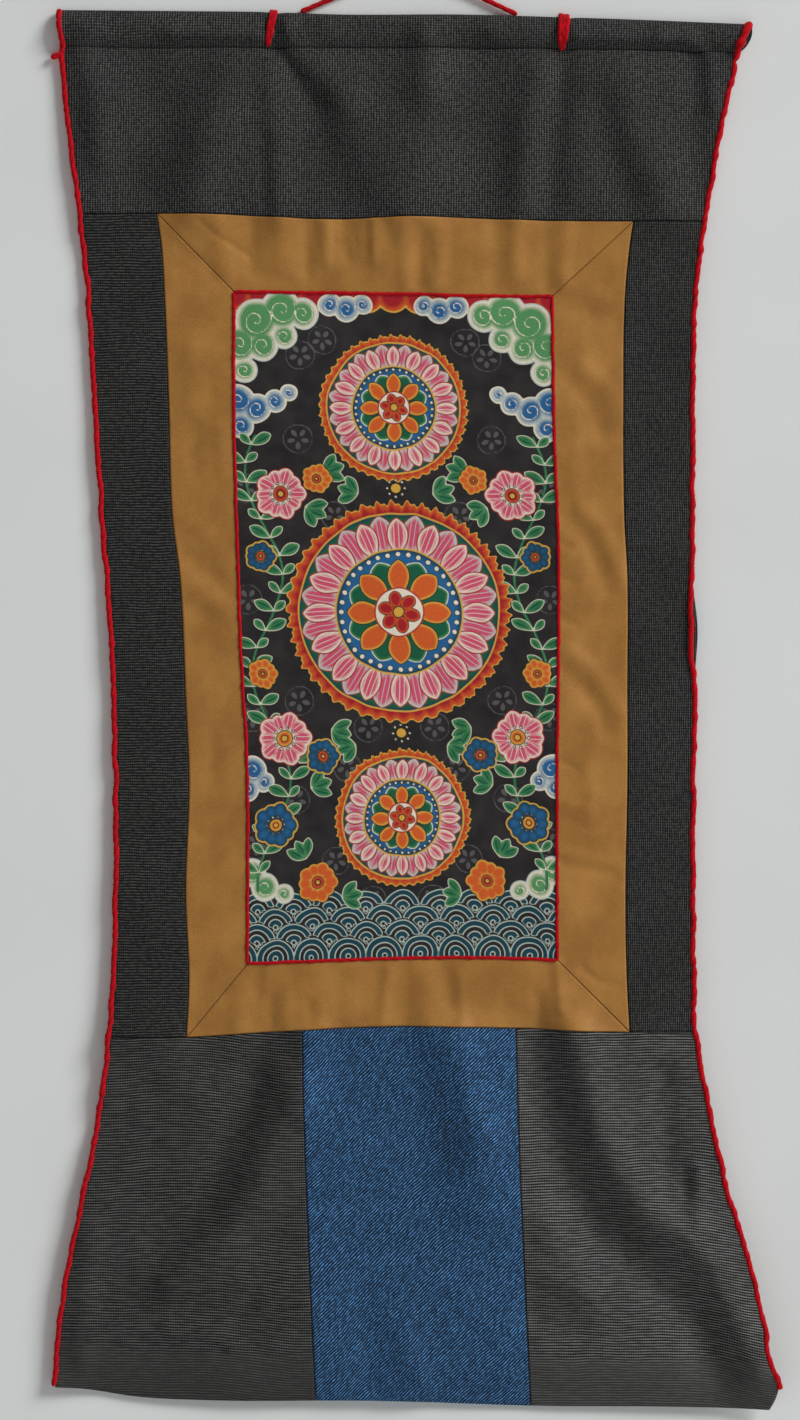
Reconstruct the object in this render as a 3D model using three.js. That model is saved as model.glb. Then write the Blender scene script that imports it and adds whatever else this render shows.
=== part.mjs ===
// A thangka, a hanging scroll: a painted cloth in a mitred gold border, set into dark cloth
// panels, edged with red yarn and hung by a red yarn cord. Sizes are in millimetres, +Z is up
// and the front faces -Y. The origin is at the middle of the heading's top edge, and "drop"
// is a height measured downwards from it.
import * as THREE from 'three';

// Cloth and yarn
const CLOTH_THICKNESS = 1.5;
const EDGE_YARN = 3.6;
const PIPING_YARN = 2.2;
const TIE_YARN = 4.4;
const CORD_YARN = 3.2;
const YARN_SIDES = 8;

// Clearances: between cloths sewn edge to edge, between a yarn and what it lies on, and
// between the edging yarn and the cloth's cut edge
const SEAM_GAP = 0.5;
const YARN_GAP = 0.4;
const EDGE_GAP = 0.7;

// About how long one facet is on folded cloth and on flat cloth, and one step of each yarn
const FOLDED_FACET = 16;
const FLAT_FACET = 26;
const EDGE_STEP = 13;
const PIPING_STEP = 24;

// Half the width over which the cloth bows forward, from the middle to a side edge
const BOW_HALF_WIDTH = 205;

// Middle line of the edging yarn on each side
const LEFT_EDGE = [
  { drop: -3, x: -223.5 },
  { drop: 16, x: -221.5 },
  { drop: 56, x: -219 },
  { drop: 95, x: -214 },
  { drop: 173, x: -205 },
  { drop: 251, x: -200 },
  { drop: 329, x: -195 },
  { drop: 407, x: -189 },
  { drop: 485, x: -186.5 },
  { drop: 563, x: -186 },
  { drop: 641, x: -188.5 },
  { drop: 699, x: -194.5 },
  { drop: 738, x: -201 },
  { drop: 816, x: -217 },
  { drop: 855, x: -223 },
  { drop: 892, x: -226 },
];
const RIGHT_EDGE = [
  { drop: 6, x: 226 },
  { drop: 20, x: 220 },
  { drop: 34, x: 215.5 },
  { drop: 56, x: 211 },
  { drop: 95, x: 203.5 },
  { drop: 134, x: 197 },
  { drop: 173, x: 191.5 },
  { drop: 212, x: 189.5 },
  { drop: 290, x: 189 },
  { drop: 407, x: 189 },
  { drop: 446, x: 190.5 },
  { drop: 485, x: 189.5 },
  { drop: 621, x: 189.5 },
  { drop: 660, x: 190.5 },
  { drop: 719, x: 201 },
  { drop: 758, x: 209.5 },
  { drop: 816, x: 226.5 },
  { drop: 855, x: 235.5 },
  { drop: 885, x: 241.5 },
  { drop: 897, x: 243 },
  { drop: 907, x: 241.5 },
];

// Where the edging yarn starts and ends on each side
const LEFT_YARN = { from: -3, to: 892 };
const RIGHT_YARN = { from: 6, to: 893 };

// The heading's rod sleeve: its top edge and the seam that closes it below
const HEADING = [
  { x: -222, top: -3.3, seam: 21 },
  { x: -140, top: -2.6, seam: 21.3 },
  { x: -88, top: -2, seam: 21.5 },
  { x: -40, top: -0.4, seam: 21.5 },
  { x: 37, top: -0.4, seam: 21.5 },
  { x: 100, top: 1.3, seam: 22 },
  { x: 150, top: 2.9, seam: 23 },
  { x: 222, top: 5.8, seam: 24.5 },
];

// The seam over the gold border, the seam under it and the lower edge of the scroll
const TOP_SEAM = [
  { x: -206, drop: 129.7 },
  { x: -159, drop: 129.7 },
  { x: -112, drop: 130.7 },
  { x: -45, drop: 133.5 },
  { x: 12, drop: 132 },
  { x: 93, drop: 134.4 },
  { x: 150, drop: 134.9 },
  { x: 196, drop: 134.6 },
];
const BOTTOM_SEAM = [
  { x: -189, drop: 665 },
  { x: -140, drop: 665 },
  { x: -97, drop: 662.4 },
  { x: -39, drop: 659 },
  { x: 12, drop: 657.8 },
  { x: 81, drop: 659.5 },
  { x: 148, drop: 661.7 },
  { x: 190, drop: 661.7 },
];
const LOWER_EDGE = [
  { x: -226, drop: 892.5 },
  { x: -209, drop: 893.5 },
  { x: -172, drop: 899 },
  { x: -122, drop: 901.2 },
  { x: -14, drop: 901.6 },
  { x: 83, drop: 905 },
  { x: 174, drop: 905.5 },
  { x: 238, drop: 907 },
];

// Sides of the gold border and of the opening that it leaves for the painted cloth
const GOLD_SIDES = [
  { drop: 130, left: -159.3, right: 151 },
  { drop: 150, left: -156.5, right: 148 },
  { drop: 183, left: -154.5, right: 145 },
  { drop: 254, left: -151.8, right: 144 },
  { drop: 326, left: -149.5, right: 144.5 },
  { drop: 366, left: -144.5, right: 146.6 },
  { drop: 446, left: -140.7, right: 146.6 },
  { drop: 498, left: -138.5, right: 146.6 },
  { drop: 573, left: -140.7, right: 145.3 },
  { drop: 625, left: -138.5, right: 146 },
  { drop: 665, left: -140, right: 148 },
];
const OPENING_SIDES = [
  { drop: 180, left: -109.4, right: 97.5 },
  { drop: 277, left: -109, right: 99 },
  { drop: 347, left: -107, right: 101.6 },
  { drop: 424, left: -104.3, right: 101.6 },
  { drop: 480, left: -101, right: 100.8 },
  { drop: 617, left: -100.4, right: 100.8 },
];
const OPENING_ENDS = [
  { x: -109, top: 180.4, bottom: 617.5 },
  { x: -64, top: 181, bottom: 615.8 },
  { x: 0, top: 182, bottom: 613.6 },
  { x: 61, top: 183.4, bottom: 613.4 },
  { x: 101, top: 183.4, bottom: 614.9 },
];

// Side seams of the blue panel
const BLUE_SIDES = [
  { drop: 657, left: -65, right: 74 },
  { drop: 738, left: -63, right: 76 },
  { drop: 816, left: -60, right: 79.3 },
  { drop: 905, left: -56, right: 83.6 },
];

// How far forward the cloth stands at its left edge, its middle and its right edge
const HANG = [
  { drop: 25, left: 0, middle: 0, right: 0 },
  { drop: 135, left: 1, middle: 3, right: 2 },
  { drop: 300, left: 2, middle: 4, right: 3 },
  { drop: 450, left: 3, middle: 5, right: 3 },
  { drop: 600, left: 4, middle: 6, right: 4 },
  { drop: 665, left: 5, middle: 7, right: 5 },
  { drop: 780, left: 6, middle: 9, right: 8 },
  { drop: 905, left: 6, middle: 10, right: 12 },
];

// Folds, each a soft ridge along a path of [x, drop] places, or a trough where its rise is
// negative. Width is how far from that path it has sunk to a third of its rise.
const FOLDS = [
  { path: [[-79, 26], [-52, 75], [-42, 122]], width: 10, rise: -2.4 },
  { path: [[-108, 34], [-165, 88]], width: 12, rise: -2 },
  { path: [[-95, 45], [-118, 118]], width: 14, rise: 1.6 },
  { path: [[17, 28], [14, 114]], width: 12, rise: 1.6 },
  { path: [[75, 60], [68, 112]], width: 12, rise: 1.2 },
  { path: [[103, 30], [97, 118]], width: 10, rise: -1.6 },
  { path: [[150, 60], [178, 112]], width: 12, rise: 1.6 },
  { path: [[190, 34], [192, 60]], width: 9, rise: -1.8 },
  { path: [[-145, 265], [-120, 330]], width: 12, rise: 1.4 },
  { path: [[120, 330], [134, 372]], width: 12, rise: -1.4 },
  { path: [[-78, 712], [-98, 780], [-118, 808], [-152, 842]], width: 16, rise: 3.5 },
  { path: [[-102, 705], [-132, 775], [-170, 815]], width: 18, rise: -3.5 },
  { path: [[-66, 825], [-105, 855]], width: 10, rise: -1.5 },
  { path: [[-195, 800], [-200, 870]], width: 14, rise: 2 },
  { path: [[30, 672], [36, 750]], width: 20, rise: 2.5 },
  { path: [[-32, 720], [-28, 890]], width: 24, rise: -2 },
  { path: [[88, 690], [112, 765], [146, 803], [180, 845], [200, 895]], width: 16, rise: -5 },
  { path: [[109, 676], [132, 724], [152, 765], [170, 792], [208, 838], [230, 880]], width: 15, rise: 5 },
  { path: [[190, 720], [200, 775]], width: 10, rise: -2.5 },
  { path: [[84, 823], [109, 842]], width: 10, rise: -1.5 },
];

// Section of the rod sleeve: how deep it is, how far behind the cloth its middle lies,
// how much it narrows at its closing seam, and how far its back runs on at the right end
const SLEEVE_DEPTH = 13;
const SLEEVE_SET_BACK = 1;
const SLEEVE_NIP = 0.55;
const SLEEVE_BACK_RUN = 3;
const SLEEVE_SIDES = 14;
const SLEEVE_LENGTHS = 20;

// Ties round the sleeve: where each crosses its top edge and where it meets the seam
const TIES = [
  { name: 'tie_left', topX: -83.5, seamX: -87.5 },
  { name: 'tie_right', topX: 105.5, seamX: 104 },
];
const TIE_STEPS = 14;
const TIE_REACH = 0.82 * Math.PI;
const SMALL_TURN = 0.01;

// Hanging cord: where it leaves the heading on each side, and its bend over the nail
const CORD_LEFT_X = -66;
const CORD_RIGHT_X = 75;
const CORD_TOP_X = 6;
const CORD_TOP_RISE = 32;
const CORD_BEND_RADIUS = 8;
const CORD_BEND_STEPS = 3;
const CORD_RUN_STEPS = 4;
const CORD_STEPS = 32;

// Rounds in which a corner between two curved lines is found
const CORNER_ROUNDS = 8;

const MATERIALS = {
  slubCloth: { color: 0x3a3b3b, roughness: 0.92, metalness: 0 },
  ribbedCloth: { color: 0x37393a, roughness: 0.9, metalness: 0 },
  goldCloth: { color: 0x9c7338, roughness: 0.75, metalness: 0 },
  paintedCloth: { color: 0x2b2626, roughness: 0.8, metalness: 0 },
  blueTwill: { color: 0x2a5a8c, roughness: 0.9, metalness: 0 },
  redYarn: { color: 0xc40a26, roughness: 0.95, metalness: 0 },
};

const lerp = THREE.MathUtils.lerp;

// Smooth curve through one column of a table, read at any value of the column "at".
// Each row's slope is the mean of the two beside it, and the ends run on straight.
function curve(rows, at, value) {
  const knots = rows.map((row) => row[at]);
  const values = rows.map((row) => row[value]);
  const last = knots.length - 1;
  const rises = knots.slice(1).map((knot, i) => (values[i + 1] - values[i]) / (knot - knots[i]));
  const slopes = knots.map((_, i) => ((rises[i - 1] ?? rises[i]) + (rises[i] ?? rises[i - 1])) / 2);
  return (t) => {
    if (t <= knots[0]) return values[0] + slopes[0] * (t - knots[0]);
    if (t >= knots[last]) return values[last] + slopes[last] * (t - knots[last]);
    const i = knots.findIndex((knot) => knot > t) - 1;
    const span = knots[i + 1] - knots[i];
    const s = (t - knots[i]) / span;
    const start = (1 + 2 * s) * (1 - s) ** 2 * values[i] + s * (1 - s) ** 2 * span * slopes[i];
    const end = s * s * (3 - 2 * s) * values[i + 1] + s * s * (s - 1) * span * slopes[i + 1];
    return start + end;
  };
}

const leftEdge = curve(LEFT_EDGE, 'drop', 'x');
const rightEdge = curve(RIGHT_EDGE, 'drop', 'x');
const headingTop = curve(HEADING, 'x', 'top');
const headingSeam = curve(HEADING, 'x', 'seam');
const topSeam = curve(TOP_SEAM, 'x', 'drop');
const bottomSeam = curve(BOTTOM_SEAM, 'x', 'drop');
const lowerEdge = curve(LOWER_EDGE, 'x', 'drop');
const goldLeft = curve(GOLD_SIDES, 'drop', 'left');
const goldRight = curve(GOLD_SIDES, 'drop', 'right');
const openingLeft = curve(OPENING_SIDES, 'drop', 'left');
const openingRight = curve(OPENING_SIDES, 'drop', 'right');
const openingTop = curve(OPENING_ENDS, 'x', 'top');
const openingBottom = curve(OPENING_ENDS, 'x', 'bottom');
const blueLeft = curve(BLUE_SIDES, 'drop', 'left');
const blueRight = curve(BLUE_SIDES, 'drop', 'right');
const hangLeft = curve(HANG, 'drop', 'left');
const hangMiddle = curve(HANG, 'drop', 'middle');
const hangRight = curve(HANG, 'drop', 'right');

// The dark cloth ends beside the edging yarn
const edgeInset = EDGE_YARN / 2 + EDGE_GAP;
const clothLeft = (drop) => leftEdge(drop) + edgeInset;
const clothRight = (drop) => rightEdge(drop) - edgeInset;
const moved = (line, by) => (t) => line(t) + by;

// How far a place is from the nearest point of a path of straight stretches
function distanceTo(path, x, drop) {
  const stretches = path.slice(1).map(([endX, endDrop], i) => {
    const [startX, startDrop] = path[i];
    const runX = endX - startX;
    const runDrop = endDrop - startDrop;
    const along = ((x - startX) * runX + (drop - startDrop) * runDrop) / (runX ** 2 + runDrop ** 2);
    const t = THREE.MathUtils.clamp(along, 0, 1);
    return Math.hypot(x - startX - t * runX, drop - startDrop - t * runDrop);
  });
  return Math.min(...stretches);
}

// How far a fold stands forward at a place: its rise, less the further that place is from its path
function foldRise({ path, width, rise }, x, drop) {
  return rise * Math.exp(-((distanceTo(path, x, drop) / width) ** 2));
}

// How far forward the middle of the cloth stands: a bow across its width, with the folds added
function forward(x, drop) {
  const side = x / BOW_HALF_WIDTH;
  const left = hangLeft(drop);
  const middle = hangMiddle(drop);
  const right = hangRight(drop);
  const bow = middle + ((right - left) / 2) * side + ((left + right) / 2 - middle) * side ** 2;
  return FOLDS.reduce((sum, fold) => sum + foldRise(fold, x, drop), bow);
}

// Where a line that runs down meets a line that runs across, found in a few rounds
function corner(side, end) {
  let x = side(end(0));
  for (let round = 0; round < CORNER_ROUNDS; round += 1) {
    x = side(end(x));
  }
  return { x, drop: end(x) };
}

// Panel between two lines that run down and two that run across
function panel(left, right, top, bottom) {
  const topLeft = corner(left, top);
  const topRight = corner(right, top);
  const bottomLeft = corner(left, bottom);
  const bottomRight = corner(right, bottom);
  return (u, v) => {
    const start = top(lerp(topLeft.x, topRight.x, u));
    const end = bottom(lerp(bottomLeft.x, bottomRight.x, u));
    const drop = lerp(start, end, v);
    return { x: lerp(left(drop), right(drop), u), drop };
  };
}

// Closed sheet of cloth on a grid: a front, a back and a rim between them
function sheetGeometry(placeAt, columns, rows) {
  const positions = [];
  for (const toFront of [CLOTH_THICKNESS / 2, -CLOTH_THICKNESS / 2]) {
    for (let row = 0; row <= rows; row += 1) {
      for (let column = 0; column <= columns; column += 1) {
        const { x, drop } = placeAt(column / columns, row / rows);
        positions.push(x, -forward(x, drop) - toFront, -drop);
      }
    }
  }
  const width = columns + 1;
  const layer = width * (rows + 1);
  const indices = [];
  for (let row = 0; row < rows; row += 1) {
    for (let column = 0; column < columns; column += 1) {
      const a = row * width + column;
      const b = a + 1;
      const c = a + width;
      const d = c + 1;
      indices.push(a, c, b, b, c, d);
      indices.push(a + layer, b + layer, c + layer, b + layer, d + layer, c + layer);
    }
  }
  const rim = [];
  for (let row = 0; row < rows; row += 1) rim.push(row * width);
  for (let column = 0; column < columns; column += 1) rim.push(rows * width + column);
  for (let row = rows; row > 0; row -= 1) rim.push(row * width + columns);
  for (let column = columns; column > 0; column -= 1) rim.push(column);
  rim.forEach((p, i) => {
    const q = rim[(i + 1) % rim.length];
    indices.push(q, p, p + layer, q, p + layer, q + layer);
  });
  const geometry = new THREE.BufferGeometry();
  geometry.setAttribute('position', new THREE.Float32BufferAttribute(positions, 3));
  geometry.setIndex(indices);
  geometry.computeVertexNormals();
  return geometry;
}

function piece(name, geometry, material) {
  const mesh = new THREE.Mesh(geometry, new THREE.MeshStandardMaterial(MATERIALS[material]));
  mesh.name = name;
  return mesh;
}

// A sheet with facets of about one size, counted on its middle lines
function sheet(name, placeAt, facet, material) {
  const size = (from, to) => Math.hypot(to.x - from.x, to.drop - from.drop);
  const across = size(placeAt(0, 0.5), placeAt(1, 0.5));
  const down = size(placeAt(0.5, 0), placeAt(0.5, 1));
  const columns = Math.max(2, Math.round(across / facet));
  const rows = Math.max(2, Math.round(down / facet));
  return piece(name, sheetGeometry(placeAt, columns, rows), material);
}

// Round yarn along a smooth path
function yarn(name, points, diameter, steps) {
  const section = new THREE.Shape();
  for (let side = 0; side < YARN_SIDES; side += 1) {
    const angle = (2 * Math.PI * side) / YARN_SIDES;
    const place = [(diameter / 2) * Math.cos(angle), (diameter / 2) * Math.sin(angle)];
    if (side === 0) section.moveTo(...place);
    else section.lineTo(...place);
  }
  section.closePath();
  const extrudePath = new THREE.CatmullRomCurve3(points);
  return piece(name, new THREE.ExtrudeGeometry(section, { steps, extrudePath }), 'redYarn');
}

// The sleeve's section at a place across the scroll, turned through an angle from its top edge
// over the front: an oval that narrows towards the seam. Inset moves it into the cloth.
function sleeveSection(x, angle, inset) {
  const top = headingTop(x) + inset;
  const seam = headingSeam(x) - SEAM_GAP / 2 - inset;
  const low = (1 - Math.cos(angle)) / 2;
  const depth = (SLEEVE_DEPTH / 2 - inset) * (1 - SLEEVE_NIP * low ** 3);
  return { back: SLEEVE_SET_BACK - depth * Math.sin(angle), drop: lerp(top, seam, low) };
}

// A place on the sleeve. At its right end its back runs on past its front.
function sleevePlace(u, angle, inset) {
  const left = clothLeft(headingTop(LEFT_EDGE[0].x));
  const right = clothRight(headingTop(RIGHT_EDGE[0].x));
  const { back, drop } = sleeveSection(lerp(left, right, u), angle, inset);
  const runOn = SLEEVE_BACK_RUN * Math.max(0, -Math.sin(angle));
  return [lerp(clothLeft(drop), clothRight(drop) + runOn, u), back, -drop];
}

// The rod sleeve: an outer and an inner wall joined by a rim at each open end
function sleeveGeometry() {
  const positions = [];
  for (const inset of [0, CLOTH_THICKNESS]) {
    for (let step = 0; step <= SLEEVE_LENGTHS; step += 1) {
      for (let side = 0; side < SLEEVE_SIDES; side += 1) {
        const angle = (2 * Math.PI * side) / SLEEVE_SIDES;
        positions.push(...sleevePlace(step / SLEEVE_LENGTHS, angle, inset));
      }
    }
  }
  const wall = SLEEVE_SIDES * (SLEEVE_LENGTHS + 1);
  const indices = [];
  const quad = (a, b, c, d) => indices.push(a, b, c, a, c, d);
  for (let side = 0; side < SLEEVE_SIDES; side += 1) {
    const next = (side + 1) % SLEEVE_SIDES;
    for (let step = 0; step < SLEEVE_LENGTHS; step += 1) {
      const here = step * SLEEVE_SIDES;
      const there = here + SLEEVE_SIDES;
      quad(here + side, here + next, there + next, there + side);
      quad(wall + there + side, wall + there + next, wall + here + next, wall + here + side);
    }
    const end = SLEEVE_LENGTHS * SLEEVE_SIDES;
    quad(wall + side, wall + next, next, side);
    quad(end + side, end + next, wall + end + next, wall + end + side);
  }
  const geometry = new THREE.BufferGeometry();
  geometry.setAttribute('position', new THREE.Float32BufferAttribute(positions, 3));
  geometry.setIndex(indices);
  geometry.computeVertexNormals();
  return geometry;
}

// How far forward an edge yarn runs: over the front of the sleeve's mouth, then with the cloth
function edgeForward(x, drop) {
  const seam = headingSeam(x);
  if (drop >= seam) return forward(x, drop);
  const low = THREE.MathUtils.clamp((drop - headingTop(x)) / (seam - headingTop(x)), 0, 1);
  const depth = (SLEEVE_DEPTH / 2) * (1 - SLEEVE_NIP * low ** 3);
  return depth * Math.sqrt(1 - (2 * low - 1) ** 2) - SLEEVE_SET_BACK;
}

function edgeYarn(name, edge, { from, to }) {
  const steps = Math.round((to - from) / EDGE_STEP);
  const points = [];
  for (let step = 0; step <= steps; step += 1) {
    const drop = lerp(from, to, step / steps);
    points.push(new THREE.Vector3(edge(drop), -edgeForward(edge(drop), drop), -drop));
  }
  return yarn(name, points, EDGE_YARN, steps);
}

// Piping along one side of the opening, lying on the front of the seam
function piping(name, placeAt) {
  const from = placeAt(0);
  const to = placeAt(1);
  const steps = Math.round(Math.hypot(to.x - from.x, to.drop - from.drop) / PIPING_STEP);
  const lift = CLOTH_THICKNESS / 2 + YARN_GAP + PIPING_YARN / 2;
  const points = [];
  for (let step = 0; step <= steps; step += 1) {
    const { x, drop } = placeAt(step / steps);
    points.push(new THREE.Vector3(x, -forward(x, drop) - lift, -drop));
  }
  return yarn(name, points, PIPING_YARN, steps);
}

// A place over the sleeve's outside, lifted off it square to its section
function overSleeve(x, angle, lift) {
  const here = sleeveSection(x, angle, 0);
  const after = sleeveSection(x, angle + SMALL_TURN, 0);
  const alongBack = after.back - here.back;
  const alongDrop = after.drop - here.drop;
  const step = Math.hypot(alongBack, alongDrop);
  const back = here.back - (lift * alongDrop) / step;
  const drop = here.drop + (lift * alongBack) / step;
  return new THREE.Vector3(x, back, -drop);
}

// Tie over the sleeve, from the seam in front, over the top edge, to the seam behind
function tie({ name, topX, seamX }) {
  const points = [];
  for (let step = 0; step <= TIE_STEPS; step += 1) {
    const angle = lerp(TIE_REACH, -TIE_REACH, step / TIE_STEPS);
    const x = lerp(topX, seamX, (1 - Math.cos(angle)) / 2);
    points.push(overSleeve(x, angle, TIE_YARN / 2 + YARN_GAP));
  }
  return yarn(name, points, TIE_YARN, TIE_STEPS);
}

// Half of the hanging cord, from its foot on the sleeve's top edge to the top of its bend. It
// runs straight to where it meets the bend. Turn is -1 for the left half and 1 for the right.
function cordHalf(footX, turn) {
  const footZ = -headingTop(footX) + CORD_YARN / 2 + YARN_GAP;
  const slope = Math.atan2(CORD_TOP_RISE - footZ, Math.abs(CORD_TOP_X - footX));
  const bend = [];
  for (let step = 0; step <= CORD_BEND_STEPS; step += 1) {
    const angle = slope * (1 - step / CORD_BEND_STEPS);
    const x = CORD_TOP_X + turn * CORD_BEND_RADIUS * Math.sin(angle);
    const z = CORD_TOP_RISE - CORD_BEND_RADIUS * (1 - Math.cos(angle));
    bend.push(new THREE.Vector3(x, SLEEVE_SET_BACK, z));
  }
  const foot = new THREE.Vector3(footX, SLEEVE_SET_BACK, footZ);
  const run = [];
  for (let step = 0; step < CORD_RUN_STEPS; step += 1) {
    run.push(foot.clone().lerp(bend[0], step / CORD_RUN_STEPS));
  }
  return [...run, ...bend];
}

function hangingCord() {
  const left = cordHalf(CORD_LEFT_X, -1);
  const right = cordHalf(CORD_RIGHT_X, 1).reverse();
  return yarn('hanging_cord', [...left, ...right.slice(1)], CORD_YARN, CORD_STEPS);
}

const half = SEAM_GAP / 2;

// Strip of the gold border between the outer seam and the opening. Its mitred ends stop a
// seam gap short of the corner lines. Along runs from one mitre to the other.
function mitredStrip(outer, inner) {
  const reach = (line, along) => {
    const length = Math.hypot(line(1).x - line(0).x, line(1).drop - line(0).drop);
    return line(lerp(SEAM_GAP / length, 1 - SEAM_GAP / length, along));
  };
  return (along, inwards) => {
    const from = reach(outer, along);
    const to = reach(inner, along);
    return { x: lerp(from.x, to.x, inwards), drop: lerp(from.drop, to.drop, inwards) };
  };
}

// Lines round the border, each from one corner to the next: across by x, down by drop
const acrossLine = (end, left, right) => {
  const from = corner(left, end).x;
  const to = corner(right, end).x;
  return (t) => ({ x: lerp(from, to, t), drop: end(lerp(from, to, t)) });
};
const downLine = (side, top, bottom) => {
  const from = corner(side, top).drop;
  const to = corner(side, bottom).drop;
  return (t) => ({ x: side(lerp(from, to, t)), drop: lerp(from, to, t) });
};

const outerLeft = moved(goldLeft, half);
const outerRight = moved(goldRight, -half);
const outerTop = moved(topSeam, half);
const outerBottom = moved(bottomSeam, -half);
const innerLeft = moved(openingLeft, -half);
const innerRight = moved(openingRight, half);
const innerTop = moved(openingTop, -half);
const innerBottom = moved(openingBottom, half);

const goldTop = mitredStrip(
  acrossLine(outerTop, outerLeft, outerRight),
  acrossLine(innerTop, innerLeft, innerRight),
);
const goldBottom = mitredStrip(
  acrossLine(outerBottom, outerLeft, outerRight),
  acrossLine(innerBottom, innerLeft, innerRight),
);
const goldLeftStrip = mitredStrip(
  downLine(outerLeft, outerTop, outerBottom),
  downLine(innerLeft, innerTop, innerBottom),
);
const goldRightStrip = mitredStrip(
  downLine(outerRight, outerTop, outerBottom),
  downLine(innerRight, innerTop, innerBottom),
);

const topPanel = panel(clothLeft, clothRight, moved(headingSeam, half), moved(topSeam, -half));
const leftStrip = panel(clothLeft, moved(goldLeft, -half), outerTop, outerBottom);
const rightStrip = panel(moved(goldRight, half), clothRight, outerTop, outerBottom);
const canvas = panel(
  moved(openingLeft, half),
  moved(openingRight, -half),
  moved(openingTop, half),
  moved(openingBottom, -half),
);
const belowSeam = moved(bottomSeam, half);
const bottomLeft = panel(clothLeft, moved(blueLeft, -half), belowSeam, lowerEdge);
const bottomCentre = panel(moved(blueLeft, half), moved(blueRight, -half), belowSeam, lowerEdge);
const bottomRight = panel(moved(blueRight, half), clothRight, belowSeam, lowerEdge);

// The four runs of piping stop a yarn's width from each other at the corners
const pipeInset = PIPING_YARN / 2 + YARN_GAP;
const pipeTop = acrossLine(openingTop, openingLeft, openingRight);
const pipeBottom = acrossLine(openingBottom, openingLeft, openingRight);
const pipeLeft = downLine(openingLeft, moved(openingTop, pipeInset), moved(openingBottom, -pipeInset));
const pipeRight = downLine(openingRight, moved(openingTop, pipeInset), moved(openingBottom, -pipeInset));

const scroll = new THREE.Group();
scroll.add(
  piece('rod_sleeve', sleeveGeometry(), 'slubCloth'),
  sheet('top_panel', topPanel, FOLDED_FACET, 'slubCloth'),
  sheet('side_strip_left', leftStrip, FLAT_FACET, 'ribbedCloth'),
  sheet('side_strip_right', rightStrip, FLAT_FACET, 'ribbedCloth'),
  sheet('gold_border_top', goldTop, FLAT_FACET, 'goldCloth'),
  sheet('gold_border_bottom', (u, v) => goldBottom(u, 1 - v), FLAT_FACET, 'goldCloth'),
  sheet('gold_border_left', (u, v) => goldLeftStrip(v, u), FLAT_FACET, 'goldCloth'),
  sheet('gold_border_right', (u, v) => goldRightStrip(v, 1 - u), FLAT_FACET, 'goldCloth'),
  sheet('painting_canvas', canvas, FLAT_FACET, 'paintedCloth'),
  sheet('bottom_panel_left', bottomLeft, FOLDED_FACET, 'ribbedCloth'),
  sheet('bottom_panel_centre', bottomCentre, FOLDED_FACET, 'blueTwill'),
  sheet('bottom_panel_right', bottomRight, FOLDED_FACET, 'ribbedCloth'),
  piping('piping_top', pipeTop),
  piping('piping_bottom', pipeBottom),
  piping('piping_left', pipeLeft),
  piping('piping_right', pipeRight),
  edgeYarn('edge_yarn_left', leftEdge, LEFT_YARN),
  edgeYarn('edge_yarn_right', rightEdge, RIGHT_YARN),
  ...TIES.map(tie),
  hangingCord(),
);

export default scroll;
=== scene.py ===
"""A thangka: a painted cloth in a mitred gold border, set into dark cloth panels, edged with
red yarn and hung by a red yarn cord. Every shape is worked out in millimetres in the frame of
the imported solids: +X to the right, the front towards -Y, and "drop" downwards from the top of
the heading."""
import math

import bpy
import numpy as np
from bpy.props import FloatProperty, FloatVectorProperty, IntProperty, PointerProperty
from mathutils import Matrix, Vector


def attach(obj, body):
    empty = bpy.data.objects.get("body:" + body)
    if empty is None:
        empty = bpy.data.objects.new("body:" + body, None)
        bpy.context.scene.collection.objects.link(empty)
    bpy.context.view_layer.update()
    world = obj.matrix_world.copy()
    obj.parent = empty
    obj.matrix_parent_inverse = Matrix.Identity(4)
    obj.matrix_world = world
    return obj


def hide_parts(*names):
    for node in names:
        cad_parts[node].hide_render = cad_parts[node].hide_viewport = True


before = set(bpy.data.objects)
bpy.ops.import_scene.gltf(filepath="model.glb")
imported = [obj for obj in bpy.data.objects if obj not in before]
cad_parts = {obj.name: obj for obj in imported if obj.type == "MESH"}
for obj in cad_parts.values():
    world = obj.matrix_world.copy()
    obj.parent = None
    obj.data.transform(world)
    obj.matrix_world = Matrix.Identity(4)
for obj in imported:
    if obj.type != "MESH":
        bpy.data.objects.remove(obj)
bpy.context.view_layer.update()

bl_info = {
    "name": "Thangka scroll",
    "version": (1, 0, 0),
    "blender": (4, 5, 0),
    "location": "View3D > Sidebar > Thangka",
    "description": "Builds a hanging painted scroll from cloth panels, yarn and a cord",
    "category": "Add Mesh",
}

MM = 0.001
BODY = "root"


def table(columns, *rows):
    """Rows of numbers as named columns."""
    return dict(zip(columns.split(), np.array(rows, float).T))


def srgb(*levels):
    """A screen colour, 0 to 255, as linear light."""
    return tuple(((v / 255 + 0.055) / 1.055) ** 2.4 if v > 10 else v / 3295 for v in levels)


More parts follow.
